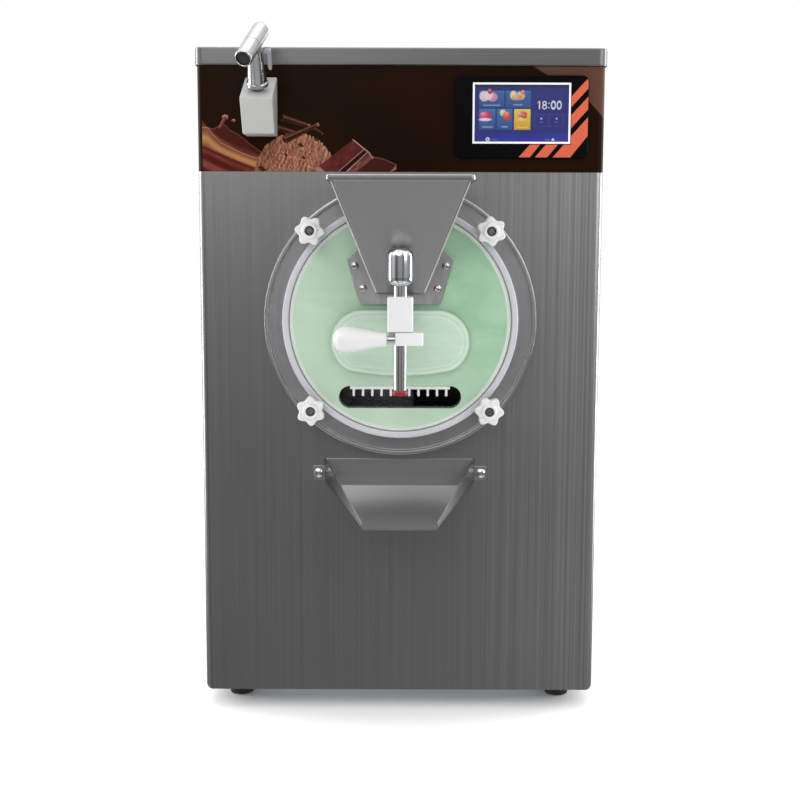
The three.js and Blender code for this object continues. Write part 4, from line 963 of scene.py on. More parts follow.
def paint_screen(x, z):
    """A menu screen: five tiles, a clock, two buttons and two status marks, with no words."""
    left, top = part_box("display_screen")[0][0] / MM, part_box("display_screen")[1][2] / MM
    art = Picture((x - left) / 1.077, (top - z) / 1.057, (30, 38, 128))
    u, v = art.x, art.z
    art.lay(np.clip((v - 44) / 18, 0, 1) * 0.8, (26, 40, 176))
    art.lay(np.clip((6 - v) / 3, 0, 1), (16, 18, 62))
    for cu, cv, r, tone in (
        (36, 62, 26, (40, 62, 208)), (80, 60, 22, (52, 70, 190)), (74, 12, 18, (44, 50, 140))
    ):
        art.lay(art.blob(cu, cv, r, r * 0.35, 8) * 0.5, tone)

    def tile(u0, u1, v0, v1, upper, lower):
        frame_mask = art.shape([(u0, v0), (u1, v0), (u1, v1), (u0, v1)], 0.5)
        art.lay(frame_mask, blend(upper, lower, (v - v0) / (v1 - v0)))
        art.lay(frame_mask * np.clip(1.2 - (v - v0) * 2, 0, 1) * 0.5, (150, 190, 236))

    blue, deep = (52, 116, 176), (48, 84, 158)
    tile(6.5, 31.4, 8.2, 24.7, blue, deep)
    tile(32.7, 57.8, 8.2, 24.7, blue, deep)
    tile(6.5, 22.8, 26.2, 46.9, (66, 122, 180), deep)
    tile(24.1, 39.8, 26.2, 46.9, (66, 122, 180), deep)
    tile(41.4, 57.8, 26.2, 46.9, (250, 226, 90), (236, 176, 40))
    fruit = [
        (11.5, 13.5, 5.0, 5.2, (244, 214, 232)), (19.6, 14.4, 5.2, 4.6, (226, 142, 184)),
        (15.5, 13.0, 4.0, 4.4, (250, 226, 240)), (17.0, 8.6, 2.2, 2.8, (206, 36, 58)),
        (40.5, 12.6, 3.4, 4.6, (240, 232, 140)), (47.5, 13.0, 4.6, 4.2, (240, 178, 140)),
        (44.0, 14.8, 5.0, 2.8, (226, 150, 106)), (50.0, 9.4, 1.8, 2.2, (236, 120, 96)),
        (12.5, 33.0, 6.0, 4.2, (222, 40, 88)), (11.0, 31.6, 3.2, 2.0, (244, 96, 138)),
        (12.5, 36.8, 6.4, 1.6, (250, 236, 240)), (30.2, 30.0, 3.2, 3.4, (220, 226, 140)),
        (34.0, 33.0, 3.8, 4.4, (230, 62, 58)), (34.2, 31.0, 2.4, 2.4, (250, 120, 100)),
        (49.4, 31.4, 4.6, 3.0, (228, 70, 78)), (46.6, 31.0, 2.0, 1.8, (250, 160, 150)),
        (51.8, 33.4, 2.2, 2.4, (214, 44, 60)), (49.6, 36.6, 4.8, 1.3, (250, 206, 110)),
    ]
    for cu, cv, ru, rv, tone in fruit:
        shine = np.clip(1 - np.hypot(u - cu + ru * 0.3, v - cv + rv * 0.4) / max(ru, rv), 0, 1)
        art.lay(art.blob(cu, cv, ru, rv, 0.7), blend(tone, (255, 255, 255), shine * 0.55))
    # Bars stand for the captions.
    for u0, u1, cv, tone in (
        (11, 27, 22.6, 190), (41, 49, 22.0, 200), (10, 19.5, 44.2, 214), (29.4, 34.6, 44.0, 214)
    ):
        art.lay(art.stroke((u0, cv), (u1, cv), 0.55, 0.6)[0] * 0.75, (tone, tone + 14, 240))
    art.lay(art.stroke((44, 44.4), (55, 44.4), 0.5, 0.6)[0] * 0.7, (255, 236, 170))
    # The clock reads 18:00.
    bright = (244, 247, 255)
    art.lay(art.stroke((66.6, 18.6), (66.6, 25.8), 0.62)[0], bright)
    art.lay(art.stroke((65.0, 19.8), (66.6, 18.6), 0.5)[0], bright)

    def ring(cu, cv, ru, rv, w):
        off = abs(np.hypot((u - cu) / ru, (v - cv) / rv) - 1) * ru
        return np.clip(0.5 + (w - off) / 0.4, 0, 1)

    for cu, cv, ru, rv in (
        (71.6, 20.3, 1.6, 1.7), (71.6, 24.1, 1.9, 1.9), (80.4, 22.2, 2.0, 3.6), (86.2, 22.2, 2.0, 3.6)
    ):
        art.lay(ring(cu, cv, ru, rv, 0.58), bright)
    for cv in (20.4, 24.8):
        art.lay(art.blob(75.9, cv, 0.7, 0.7), bright)
    for u0, u1 in ((61.8, 75.4), (77.0, 90.6)):
        for a, b in (
            ((u0, 31.4), (u1, 31.4)), ((u0, 43.4), (u1, 43.4)), ((u0, 31.4), (u0, 43.4)),
            ((u1, 31.4), (u1, 43.4)),
        ):
            art.lay(art.stroke(a, b, 0.3)[0] * 0.55, (84, 96, 220))
        art.lay(art.blob((u0 + u1) / 2, 35.6, 1.0, 1.0), (200, 210, 250))
        art.lay(
            art.stroke(((u0 + u1) / 2 - 1.6, 39.2), ((u0 + u1) / 2 + 1.6, 39.2), 0.4)[0] * 0.6,
            (160, 176, 236),
        )
    art.lay(art.blob(15.3, 56.6, 2.1, 2.1), bright)
    art.lay(art.blob(15.3, 56.6, 0.7, 0.7), (30, 40, 150))
    art.lay(art.shape([(78.6, 57.6), (80.5, 54.8), (82.4, 57.6)]), bright)
    for u0, u1 in ((19, 25), (73, 77)):
        art.lay(art.stroke((u0, 56.8), (u1, 56.8), 0.4)[0] * 0.6, (150, 166, 240))
    return art.linear()


def build_display(settings):
    """The printed film at the lower left, and the screen in its bezel."""
    step = settings.print_step / MM
    art = painted_plate("fascia_print", -214.5, -0.5, 603.9, 667, 0.02, 0.12, step, paint_fascia)
    finish_piece(art, "cabinet", bpy.data.materials["fascia_print"])

    (x0, _, z0), (x1, _, z1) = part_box("display_bezel")
    (sx0, _, sz0), (sx1, _, sz1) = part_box("display_screen")
    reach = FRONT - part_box("display_bezel")[0][1]
    gap = 0.3 * MM
    hole = rectangle(sx0 - gap, sx1 + gap, sz0 - gap, sz1 + gap)
    outline = rounded(rectangle(x0, x1, z0, z1), 7 * MM, 8)
    bezel = plate("bezel_frame", [outline, hole], reach - gap, 0.8 * MM, facing(gap), 4)
    finish_piece(bezel, "cabinet", bpy.data.materials["bezel_black"], ["display_bezel"])
    stripes = [
        [(182.9, 683.9), (199.4, 702.0), (200.7, 700.4), (200.7, 692.1), (182.9, 672.6)],
        [(182.9, 664.2), (200.9, 683.7), (200.9, 670.3), (182.9, 650.3)],
        [
            (182.9, 641.9), (200.9, 662.0), (200.9, 642.4), (182.6, 619.5), (163.6, 619.5), (175.5, 633.0),
            (182.9, 633.0),
        ],
        [(139.2, 633.0), (150.0, 633.0), (139.0, 619.5), (127.0, 619.5)],
        [(156.2, 633.0), (169.3, 633.0), (157.6, 619.5), (144.5, 619.5)],
    ]
    parts = [prism("stripe", scaled(s), 0.1 * MM, facing(reach - 0.02 * MM)) for s in stripes]
    finish_piece(merge("bezel_stripes", parts), "cabinet", bpy.data.materials["orange_print"])
    band = settings.frame_width
    inner = rectangle(sx0 + band, sx1 - band, sz0 + band, sz1 - band)
    frame_plate = plate(
        "screen_frame", [rectangle(sx0, sx1, sz0, sz1), inner], 0.5 * MM, 0.15 * MM,
        facing(reach - 0.4 * MM), 2,
    )
    finish_piece(frame_plate, "cabinet", bpy.data.materials["white_print"])
    picture = painted_plate(
        "screen_panel", sx0 / MM, sx1 / MM, sz0 / MM, sz1 / MM, 0.3, reach / MM - 0.7, 0.4, paint_screen
    )
    finish_piece(picture, "cabinet", bpy.data.materials["screen_glass"], ["display_screen"])


# ---- freezing cylinder and door --------------------------------------------------------------------


def build_door(settings):
    """The steel flange with its four studs, the white rim and the milky disc."""
    axis = facing(0, z=AXIS_HEIGHT)
    profile = [
        (114.0, 0.4), (114.0, 0.3), (147.6, 0.3), (148.0, 0.7), (148.0, 14.8), (147.7, 15.6), (146.9, 16.0),
        (144.6, 16.0), (143.9, 15.7), (143.6, 15.0), (143.6, 12.8), (143.2, 12.2), (142.4, 12.0),
        (114.6, 12.0), (114.0, 11.5),
    ]
    flange = lathe("flange_ring", scaled(profile), axis, 192)
    thread = [(0, 12.1), (4.0, 12.1), (4.0, 36)]
    pitch = settings.thread_pitch / MM
    turns = int(15.6 / pitch)
    for i in range(turns):
        z = 36.6 + i * pitch
        thread += [(4.0, z), (3.5, z + pitch * 0.45), (3.5, z + pitch * 0.55)]
    thread += [(3.7, 52.4), (2.8, 53.2), (2.5, 54.0), (0, 54.0)]
    studs = [lathe("stud", scaled(thread), facing(0, middle(k)[0], middle(k)[2]), 32) for k in KNOBS]
    finish_piece(merge("flange_studs", studs), "cabinet", bpy.data.materials["stud_steel"])
    finish_piece(
        flange, "cabinet", bpy.data.materials["flange_steel"], ["barrel_flange"], sharp=50
    )

    rim = [
        (119.6, 12.3), (126.2, 12.3), (126.6, 12.8), (126.6, 33.6), (126.1, 35.1), (124.8, 36.0),
        (121.6, 36.0), (120.2, 35.6), (119.6, 34.6),
    ]
    rim_ring = lathe("door_ring", scaled(rim), axis, 192)
    finish_piece(rim_ring, "door", bpy.data.materials["ring_white"], ["door_rim"], sharp=60)

    edge = settings.disc_edge / MM
    disc = [(0, 15), (118.9, 15), (119.3, 15.4), (119.3, 33 - edge), (119.3 - edge, 33)]
    disc += [(117.2, 33.0), (116.8, 32.5), (115.4, 32.5), (115.0, 33.0), (0, 33)]
    plate_disc = lathe("door_glass", scaled(disc), axis, 192)
    slot = rounded(rectangle(-66 * MM, 66 * MM, 350 * MM, 374 * MM), 12 * MM, 10)
    carve(plate_disc, prism("slot", slot, 24 * MM, facing(12 * MM)))
    throat = (-THROAT_HALF, THROAT_HALF, FRONT - 40 * MM, FRONT - 10 * MM, THROAT_LOW, THROAT_HIGH)
    carve(plate_disc, brick("throat", *throat))
    groove = (-6.4 * MM, 6.4 * MM, FRONT - 40 * MM, FRONT - 28.5 * MM, 378 * MM, 452 * MM)
    carve(plate_disc, brick("groove", *groove))
    clear = bpy.data.materials["door_polycarbonate"]
    finish_piece(plate_disc, "door", clear, ["door_disc"], sharp=30)


def build_knobs(settings):
    """Four knobs with six lobes, each turned its own way, on the studs."""
    rows = [
        (4.15, 0, 0), (9, 0, 0), (10, 0, 1), (11.3, 0.3, 3.2), (13.4, 1, 3.8), (14.1, 1, 5.2),
        (14.1, 1, 13.6), (13.8, 1, 14.8), (13.0, 1, 15.6), (11.6, 0.8, 16.0), (9.6, 0.4, 16.2),
        (8.6, 0.1, 16.8), (8.0, 0, 18.4), (6.6, 0, 19.0), (5.5, 0, 19.0), (5.1, 0, 18.6), (5.0, 0, 17.6),
        (5.0, 0, 11.0), (4.15, 0, 10.4),
    ]
    segments, lobes = 144, 6
    for name, turned in KNOBS.items():
        x, _, z = middle(name)
        loops = []
        for radius, amount, height in rows:
            loop = []
            for i in range(segments):
                angle = 2 * math.pi * i / segments
                wave = math.cos(lobes * (angle + turned))
                r = radius + amount * settings.lobe / MM * wave
                loop.append((r * math.cos(angle) * MM, r * math.sin(angle) * MM, height * MM))
            loops.append(loop)
        knob = loft(name + "_grip", loops, facing(36.5 * MM, x, z), closed=True)
        finish_piece(knob, name, bpy.data.materials["white_nylon"], [name], sharp=50)


# ---- hopper ----------------------------------------------------------------------------------------


def build_hopper(settings):
    """The bracket plate with its bolts, the folded hopper with its rim, and bright beads that paint
    highlights along its side edges.
    """
    steel, polished_steel = bpy.data.materials["hopper_steel"], bpy.data.materials["food_steel"]
    outline = scaled([(-57, 510), (-43, 462), (43, 462), (57, 510), (47, 520), (-47, 520)])
    throat = rectangle(-THROAT_HALF, THROAT_HALF, THROAT_LOW, THROAT_HIGH)
    bracket = plate(
        "bracket_plate", [rounded(outline, 5 * MM, 6), throat], 3.3 * MM, 0.5 * MM, facing(33.35 * MM), 3
    )
    dome = [(0, 0), (4.4, 0), (4.4, 0.5), (4.0, 1.5), (3.0, 2.3), (1.6, 2.8), (0, 3.0)]
    bolts = [
        lathe("bolt", scaled(dome), facing(36.6 * MM, x * MM, z * MM), 40)
        for x, z in ((-48.5, 503), (48.5, 503), (-39.8, 479), (39.8, 479))
    ]
    finish_piece(bracket, "door", bpy.data.materials["bracket_steel"], ["hopper_bracket"])
    finish_piece(merge("bracket_bolts", bolts), "door", polished_steel)

    def ring(half, near, far, z, radius):
        corners = [(-half, near), (half, near), (half, far), (-half, far)]
        back = min(radius, 2.0)
        line = rounded(scaled(corners), [back * MM, back * MM, radius * MM, radius * MM], 6)
        return [(x, FRONT - reach, z * MM) for x, reach in line]

    wall = settings.wall / MM
    loops = [
        ring(24.6, 38.4, 46.6, 474.0, 2.6), ring(26, 37, 48, 475.2, 3.2), ring(69.8, 37, 108, 587.4, 4.0),
        ring(70.4, 37, 108.6, 588.4, 4.2), ring(74.2, 37, 109.4, 588.9, 5.0), ring(75, 37, 110, 589.8, 5.4),
        ring(75, 37, 110, 593.8, 5.4), ring(74.6, 37.4, 109.6, 594.7, 5.2), ring(74.0, 38, 109, 595.0, 5.0),
        ring(70.2, 38.0, 108.0, 595.0, 4.0), ring(69.0, 38.5, 107.0, 594.4, 3.4),
        ring(69.8 - wall, 37 + wall, 108 - wall, 592.0, 3.0),
        ring(69.8 - wall, 37 + wall, 108 - wall, 588.0, 3.0),
        ring(26.6 - wall, 37 + wall, 48.6 - wall, 477.0, 2.2),
        ring(25.6 - wall, 38 + wall, 47.6 - wall, 475.6, 1.4),
    ]
    hopper = loft("hopper_shell", loops)
    low_edge = THROAT_LOW + 0.6 * MM
    throat = (-THROAT_HALF, THROAT_HALF, FRONT - 41 * MM, FRONT - 36 * MM, low_edge, THROAT_HIGH)
    carve(hopper, brick("throat", *throat))
    finish_piece(hopper, "door", steel, ["hopper"], sharp=40)
    # Two bright beads along the hopper's side edges are painted highlights of its folded edges.
    edges = []
    for side in (-1, 1):
        low = Vector((side * 25.6 * MM, FRONT - 47.6 * MM, 475.4 * MM))
        high = Vector((side * 69.4 * MM, FRONT - 107.6 * MM, 587.6 * MM))
        turn = (high - low).to_track_quat("Z", "Y").to_matrix().to_4x4()
        reach = (high - low).length / MM
        highlight_bead = [(0, 0), (0.6, 0.1), (0.9, 0.6), (0.9, reach - 0.6), (0.6, reach - 0.1), (0, reach)]
        edges.append(lathe("highlight_bead", scaled(highlight_bead), Matrix.Translation(low) @ turn, 20))
    finish_piece(merge("hopper_highlight_beads", edges), "door", bpy.data.materials["edge_steel"])


# ---- gate and lever ----------------------------------------------------------------------------------


def upright(x, y, z=0.0):
    """The matrix of a piece whose local axes are the object's own."""
    return Matrix.Translation((x, y, z))


def build_gate(settings):
    """The clear gate, the block, the chromed rod with its knob, and the red ring."""
    white, chrome = bpy.data.materials["white_nylon"], bpy.data.materials["bright_chrome"]
    low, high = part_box("gate_plate")
    radius, top = 34 * MM, high[2]
    end_x, end_z = high[0] - radius, top - radius
    tip = math.atan2(30, 16)
    right = [
        (end_x + radius * math.cos(a), end_z + radius * math.sin(a))
        for a in np.linspace(math.pi / 2, -tip, 28)
    ]
    cx, cz = right[-1]
    pull = (0.0, 2 * 386 * MM - cz)
    smile = []
    for t in np.linspace(0, 1, 26)[1:-1]:
        x = (1 - t) ** 2 * cx + 2 * t * (1 - t) * pull[0] - t * t * cx
        z = (1 - t) ** 2 * cz + 2 * t * (1 - t) * pull[1] + t * t * cz
        smile.append((x, z))
    outline = right + smile + [(-x, z) for x, z in right[::-1]]
    gate = plate("gate_window", [outline], 8.2 * MM, settings.chamfer, facing(33.4 * MM), 2)
    finish_piece(
        gate, "gate", bpy.data.materials["gate_clear"], ["gate_plate"], sharp=25
    )
    # Two pale lines run round the window just inside its edge: painted highlights of the plate's edge.
    centre_z = (low[2] + high[2]) / 2
    lines = []
    for outer, inner in ((0.978, 0.960), (0.915, 0.900)):
        rims = [
            [
                (x * k, centre_z + (z - centre_z) * (1 - (1 - k) * high[0] / (high[2] - centre_z)))
                for x, z in outline
            ]
            for k in (outer, inner)
        ]
        lines.append(plate("line", rims, 0.3 * MM, 0.1 * MM, facing(41.5 * MM), 1))
    finish_piece(merge("gate_highlight_lines", lines), "gate", bpy.data.materials["gate_edge"])
    key = brick(
        "gate_key", -6 * MM, 6 * MM, FRONT - 33.3 * MM, FRONT - 29 * MM, 421 * MM, 451 * MM, 0.5 * MM
    )
    finish_piece(key, "gate", bpy.data.materials["gate_clear"])

    rod_x, rod_y, _ = middle("lift_rod")
    (x0, y0, z0), (x1, y1, z1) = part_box("gate_block")
    plan = rounded(rectangle(x0, x1, y0, y1), [3 * MM, 3 * MM, 0.6 * MM, 0.6 * MM], 8)
    block = plate(
        "gate_hub", [plan, circle(7.3 * MM, 64, rod_x, rod_y)], z1 - z0, 0.9 * MM, upright(0, 0, z0), 4
    )
    finish_piece(block, "gate", white, ["gate_block"])

    rod = [
        (0, 369.6), (4.1, 369.6), (4.5, 370.0), (4.5, 375.2), (6.5, 375.3), (6.9, 375.9), (6.9, 455),
        (6.9, 482.6), (6.5, 483.0), (0, 483.0),
    ]
    bar = lathe("lift_bar", scaled(rod), upright(rod_x, rod_y), 64)
    finish_piece(bar, "gate", chrome, ["lift_rod"])
    capsule = [
        (0, 483.3), (7.6, 483.3), (8.4, 483.7), (10.6, 485.0), (12.4, 486.9), (13.3, 489.4), (13.5, 492),
        (13.5, 513.0), (13.2, 515.6), (12.2, 518.2), (10.4, 520.3), (7.8, 521.5), (4.6, 521.95), (0, 522.0),
    ]
    knob = lathe("lift_grip", scaled(capsule), upright(rod_x, rod_y), 96)
    finish_piece(knob, "gate", chrome, ["lift_knob"], sharp=60)
    stop = [
        (4.8, 370.1), (7.4, 370.0), (8.2, 370.6), (8.5, 371.5), (8.5, 373.2), (8.2, 374.2), (7.4, 374.7),
        (4.8, 374.7),
    ]
    red = lathe("rod_stop", scaled(stop), upright(rod_x, rod_y), 64)
    finish_piece(red, "gate", bpy.data.materials["red_rubber"], ["rod_ring"], sharp=60)


def build_lever(settings):
    """The collar that locks the rod, and the pear-shaped grip on its threaded stud."""
    white = bpy.data.materials["white_nylon"]
    rod_x, rod_y, _ = middle("lift_rod")
    (x0, y0, z0), (x1, y1, z1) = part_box("lock_collar")
    notch_x, notch_y = -5 * MM, y0 + 8 * MM
    points = [(notch_x, y0), (x1, y0), (x1, y1), (x0, y1), (x0, notch_y), (notch_x, notch_y)]
    radii = [r * MM for r in (0.6, 3, 3, 3, 1.2, 0.8)]
    hole = circle(7.05 * MM, 64, rod_x, rod_y)
    collar = plate("lock_ring", [rounded(points, radii, 8), hole], z1 - z0, 0.8 * MM, upright(0, 0, z0), 4)
    finish_piece(collar, "lock_lever", white, ["lock_collar"])

    _, stud_y, stud_z = middle("lever_stud")
    along = Matrix.Translation((0, stud_y, stud_z)) @ Matrix.Rotation(math.pi / 2, 4, "Y")
    threads = [(0, -13.5)]
    count, pitch = 10, 0.82
    for i in range(count):
        threads += [(3.7, -13.5 + pitch * i), (3.2, -13.5 + pitch * (i + 0.5))]
    threads += [(3.7, -5.3), (0, -5.3)]
    stud = lathe("lever_screw", scaled(threads), along, 40)
    finish_piece(stud, "lock_lever", bpy.data.materials["bright_chrome"], ["lever_stud"])
    pear = [
        (0, -69.0), (2.6, -68.85), (5.2, -68.3), (8.0, -66.9), (10.4, -64.6), (12.2, -61.4), (13.2, -57.4),
        (13.4, -53.0), (13.0, -48.4), (12.0, -43.2), (10.7, -37.4), (9.4, -31.6), (8.4, -26.6),
        (7.7, -22.0), (7.3, -18.4), (7.2, -15.2), (6.8, -14.3), (6.0, -13.85), (0, -13.8),
    ]
    shape = flowing(pear[1:-3], settings.smoothness)
    grip = lathe("lever_handle", scaled([pear[0]] + [tuple(p) for p in shape] + pear[-2:]), along, 96)
    finish_piece(grip, "lock_lever", white, ["lever_grip"], sharp=60)


# ---- chute -------------------------------------------------------------------------------------------


def build_chute(settings):
    """The sloping tray of folded sheet, with its two tabs and screws."""
    wall = settings.wall / MM

    def row(half, top, floor, radius, reach, inward):
        line = [(-half + inward, top), (-half + inward, floor + inward), (half - inward, floor + inward),
                (half - inward, top)]
        return [
            (x * MM, FRONT - reach * MM, z * MM)
            for x, z in rounded(line, max(radius - inward, 0.6), 8, False)
        ]

    back, front = (84, 290, 258, 9, 0.4), (40, 236, 229, 3.5, 95)
    loops = []
    for t in np.linspace(0, 1, 9):
        now = [a + (b - a) * t for a, b in zip(back, front)]
        loops.append(row(*now, 0) + row(*now, wall)[::-1])
    tray = loft("chute_tray", loops)
    web_line = rounded([(-83.4, 289.4), (-83.4, 258.4), (83.4, 258.4), (83.4, 289.4)], [0.8, 8, 8, 0.8], 8)
    web = plate("chute_web", [scaled(web_line)], 1.4 * MM, 0.3 * MM, facing(0.35 * MM), 2)
    parts = [tray, web]
    screws = []
    head = [(0, 0), (5.3, 0), (5.3, 0.8), (4.8, 1.8), (3.4, 2.5), (2.0, 2.8), (1.9, 1.9), (0, 1.9)]
    for side in (-1, 1):
        tab = rounded(rectangle(side * 89 - 8, side * 89 + 8, 265, 281), 3, 8)
        parts.append(plate("tab", [scaled(tab)], 1.5 * MM, 0.3 * MM, facing(0.35 * MM), 2))
        screws.append(lathe("screw", scaled(head), facing(1.86 * MM, side * 90.5 * MM, 273 * MM), 40))
    steel = bpy.data.materials["chute_steel"]
    finish_piece(merge("chute_sheet", parts), "cabinet", steel, ["drip_chute"], sharp=40)
    finish_piece(
        merge("chute_screws", screws), "cabinet", bpy.data.materials["bright_chrome"]
    )


# ---- hand sprayer ------------------------------------------------------------------------------------


def sprayer_seat():
    """The sprayer's own frame: local Z runs along the handle, which leans forwards."""
    lean = math.radians(35)
    return Matrix.Translation((-150 * MM, FRONT - 35 * MM, 688 * MM)) @ Matrix.Rotation(lean, 4, "X")


def build_sprayer(settings):
    """The white wedge that holds the sprayer, its chromed handle and head, and the trigger."""
    seat = sprayer_seat()
    chrome = bpy.data.materials["satin_chrome"]
    profile = [(0.3, 641), (0.3, 704), (55, 676), (32, 641)]
    line = rounded(profile, [1.5, 1.5, 3.5, 3.0], 5)
    holder = loft("wedge", [[(x * MM, FRONT - r * MM, z * MM) for r, z in line] for x in (-167, -133)])
    soften(holder, settings.edge, 4, 60)
    carve(holder, lathe("socket", scaled([(0, -36), (6.6, -36), (6.6, 30), (0, 30)]), seat, 48))
    way = lathe("way", scaled([(0, 0.1), (6, 0.1), (6, 18), (0, 18)]), facing(0, -150 * MM, 657 * MM), 48)
    carve(holder, way)
    # The holder gets a greyer copy of the white plastic as painted shade on its downward-leaning face.
    finish_piece(
        holder, "cabinet", bpy.data.materials["holder_white"], ["spray_holder"], sharp=40
    )

    handle = [
        (0, -33.8), (5.4, -33.8), (6.0, -33.2), (6.0, 3.0), (10.6, 3.0), (11.4, 3.5), (11.5, 4.2),
        (11.5, 6.4), (11.1, 7.2), (10.4, 7.6), (10.1, 8.2), (10.0, 12.0), (9.6, 18), (8.9, 26), (8.2, 34),
        (7.8, 38), (7.8, 42.2), (0, 42.2),
    ]
    stem = lathe("spray_stem", scaled(handle), seat, 96)
    finish_piece(stem, "sprayer", chrome, ["spray_handle"], sharp=40)
    head_place = seat @ Matrix.Translation((0, 0, 52 * MM)) @ Matrix.Rotation(math.radians(-10.7), 4, "Z")
    head_place = head_place @ Matrix.Rotation(math.pi / 2, 4, "X")
    # Local Z of the head's lathe runs along the tube towards its mouth.
    head = [
        (0, -30), (4.0, -29.8), (6.5, -29.2), (8.2, -27.8), (8.9, -25.8), (9.0, -24), (9.0, 9.0),
        (8.75, 9.2), (8.75, 9.9), (9.0, 10.1), (9.0, 38.4), (8.8, 39.4), (8.2, 40.0), (7.5, 40.0),
        (7.1, 39.6), (7.0, 39.0), (7.0, 27.5), (6.4, 26.0), (0, 26.0),
    ]
    tube = lathe("spray_barrel", scaled(head), head_place, 96)
    finish_piece(tube, "sprayer", chrome, ["spray_head"], sharp=40)
    rose = [(0, 26.05), (6.9, 26.05), (6.9, 37.8), (6.2, 38.3), (0, 38.8)]
    nozzle = lathe("spray_rose", scaled(rose), head_place, 48)
    finish_piece(nozzle, "sprayer", bpy.data.materials["rose_black"])

    hook = [(9.4, 43.9), (9.4, 40.6), (12.7, 40.4), (12.7, 24.5), (14.2, 22.1), (16.4, 22.1), (16.4, 43.9)]
    section = rounded(hook, [0.6, 0.6, 1.2, 1.2, 0.9, 0.9, 1.6], 5)
    pull = loft("spray_pull", [[(x * MM, y * MM, z * MM) for x, z in section] for y in (-4.4, 4.4)], seat)
    soften(pull, 0.7 * MM, 3, 60)
    finish_piece(
        pull, "trigger", bpy.data.materials["trigger_grey"], ["spray_trigger"], sharp=40
    )


# ---- back --------------------------------------------------------------------------------------------


def build_back(settings):
    """The power inlet with its pins and rocker, the water inlet, and the screws of the rear sheet."""
    black = bpy.data.materials["bezel_black"]
    low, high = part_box("power_inlet")
    x, z0, z1, y = (low[0] + high[0]) / 2, low[2], high[2], high[1]
    behind = Matrix(((-1, 0, 0, x), (0, 0, 1, y), (0, 1, 0, 0), (0, 0, 0, 1)))
    half = (high[0] - low[0]) / 2
    low_z = z0 / MM
    keyhole = [(-12.2, 9), (12.2, 9), (12.2, 22), (7.4, 27), (-7.4, 27), (-12.2, 22)]
    socket = scaled(rounded([(dx, dz + low_z) for dx, dz in keyhole], 1.0, 4))
    window = rectangle(-7.3 * MM, 7.3 * MM, z1 - 37 * MM, z1 - 9 * MM)
    outline = rounded(rectangle(-half, half, z0, z1), 4 * MM, 6)
    face = plate(
        "inlet_face", [outline, socket, window], 3 * MM, 0.6 * MM,
        behind @ Matrix.Translation((0, 0, -3 * MM)), 3,
    )
    body = brick("body", x - 14.4 * MM, x + 14.4 * MM, y - 26 * MM, y - 3.2 * MM, z0 + 3 * MM, z1 - 3 * MM)
    carve(body, prism("socket", socket, 22 * MM, behind @ Matrix.Translation((0, 0, -21 * MM))))
    carve(body, brick("window", x - 7.3 * MM, x + 7.3 * MM, y - 16 * MM, y + MM, z1 - 37 * MM, z1 - 9 * MM))
    finish_piece(
        merge("inlet_shell", [face, body]), "cabinet", black, ["power_inlet"], sharp=40
    )
    pins = [
        brick("pin", x + (dx - 1) * MM, x + (dx + 1) * MM, y - 21 * MM, y - 6 * MM, z0 + (z - 2.5) * MM,
              z0 + (z + 2.5) * MM, 0.5 * MM)
        for dx, z in ((-7, 15.5), (7, 15.5), (0, 20))
    ]
    finish_piece(merge("inlet_pins", pins), "cabinet", bpy.data.materials["brass"])

    # The rocker has a stroke and a ring on its two faces.
    pivot = (middle("main_switch")[0], BACK - 2 * MM, z1 - 23 * MM)
    tilt = Matrix.Translation(pivot) @ Matrix.Rotation(math.radians(-8), 4, "X")
    side = rounded([(-4, -12), (5, -12), (8, 0), (5, 12), (-4, 12), (-6, 0)], [0.4, 0.8, 6, 0.8, 0.4, 1], 6)
    rocker = loft("rocker", [[(dx * MM, a * MM, b * MM) for a, b in side] for dx in (-7, 7)], tilt)
    soften(rocker, 0.5 * MM, 3, 50)
    finish_piece(
        rocker, "rocker", bpy.data.materials["rocker_red"], ["main_switch"], sharp=40
    )
    slope = math.atan2(3, 12)
    marks = []
    stroke = [rectangle(-0.6 * MM, 0.6 * MM, -2.4 * MM, 2.4 * MM)]
    ring = [circle(2.6 * MM, 40), circle(1.8 * MM, 40)]
    backwards = Matrix(((-1, 0, 0, 0), (0, 0, 1, 0), (0, 1, 0, 0), (0, 0, 0, 1)))
    for sign, shape in ((1, stroke), (-1, ring)):
        lean = Matrix.Rotation(sign * slope, 4, "X")
        lay = tilt @ Matrix.Translation((0, 6.05 * MM, sign * 7 * MM)) @ lean
        marks.append(plate("mark", shape, 0.3 * MM, 0.05 * MM, lay @ backwards, 1))
    finish_piece(merge("rocker_marks", marks), "rocker", bpy.data.materials["white_print"])

    wx, _, wz = middle("water_inlet")
    thread = [
        (4.6, -6), (6.9, -6), (6.9, 0.3), (12.4, 0.3), (12.9, 0.8), (12.9, 3.6), (12.4, 4.1), (9.4, 4.4)
    ]
    for i in range(6):
        thread += [(9.9, 5.0 + i * 1.5), (9.9, 5.4 + i * 1.5), (9.2, 5.9 + i * 1.5), (9.2, 6.1 + i * 1.5)]
    thread += [(9.5, 14.6), (9.2, 15.0), (5.4, 15.0), (5.0, 14.6), (5.0, 2.2), (4.6, 2.0)]
    turn = Matrix.Rotation(-math.pi / 2, 4, "X")
    outwards = Matrix.Translation((wx, BACK, wz)) @ turn
    inlet = lathe("inlet_spigot", scaled(thread), outwards, 72)
    finish_piece(inlet, "cabinet", bpy.data.materials["brass"], ["water_inlet"], sharp=40)

    rows = []
    for sx in (-205, 205):
        place = Matrix.Translation((sx * MM, BACK + 0.05 * MM, 0.04)) @ turn
        screw = lathe("screw", scaled(SCREW_HEAD), place, 32)
        rows.append(in_a_row(screw, 5, (0, 0, settings.pitch), black))
    finish_piece(merge("rear_screws", rows), "cabinet", bpy.data.materials["lid_steel"])


# ---- stage -------------------------------------------------------------------------------------------


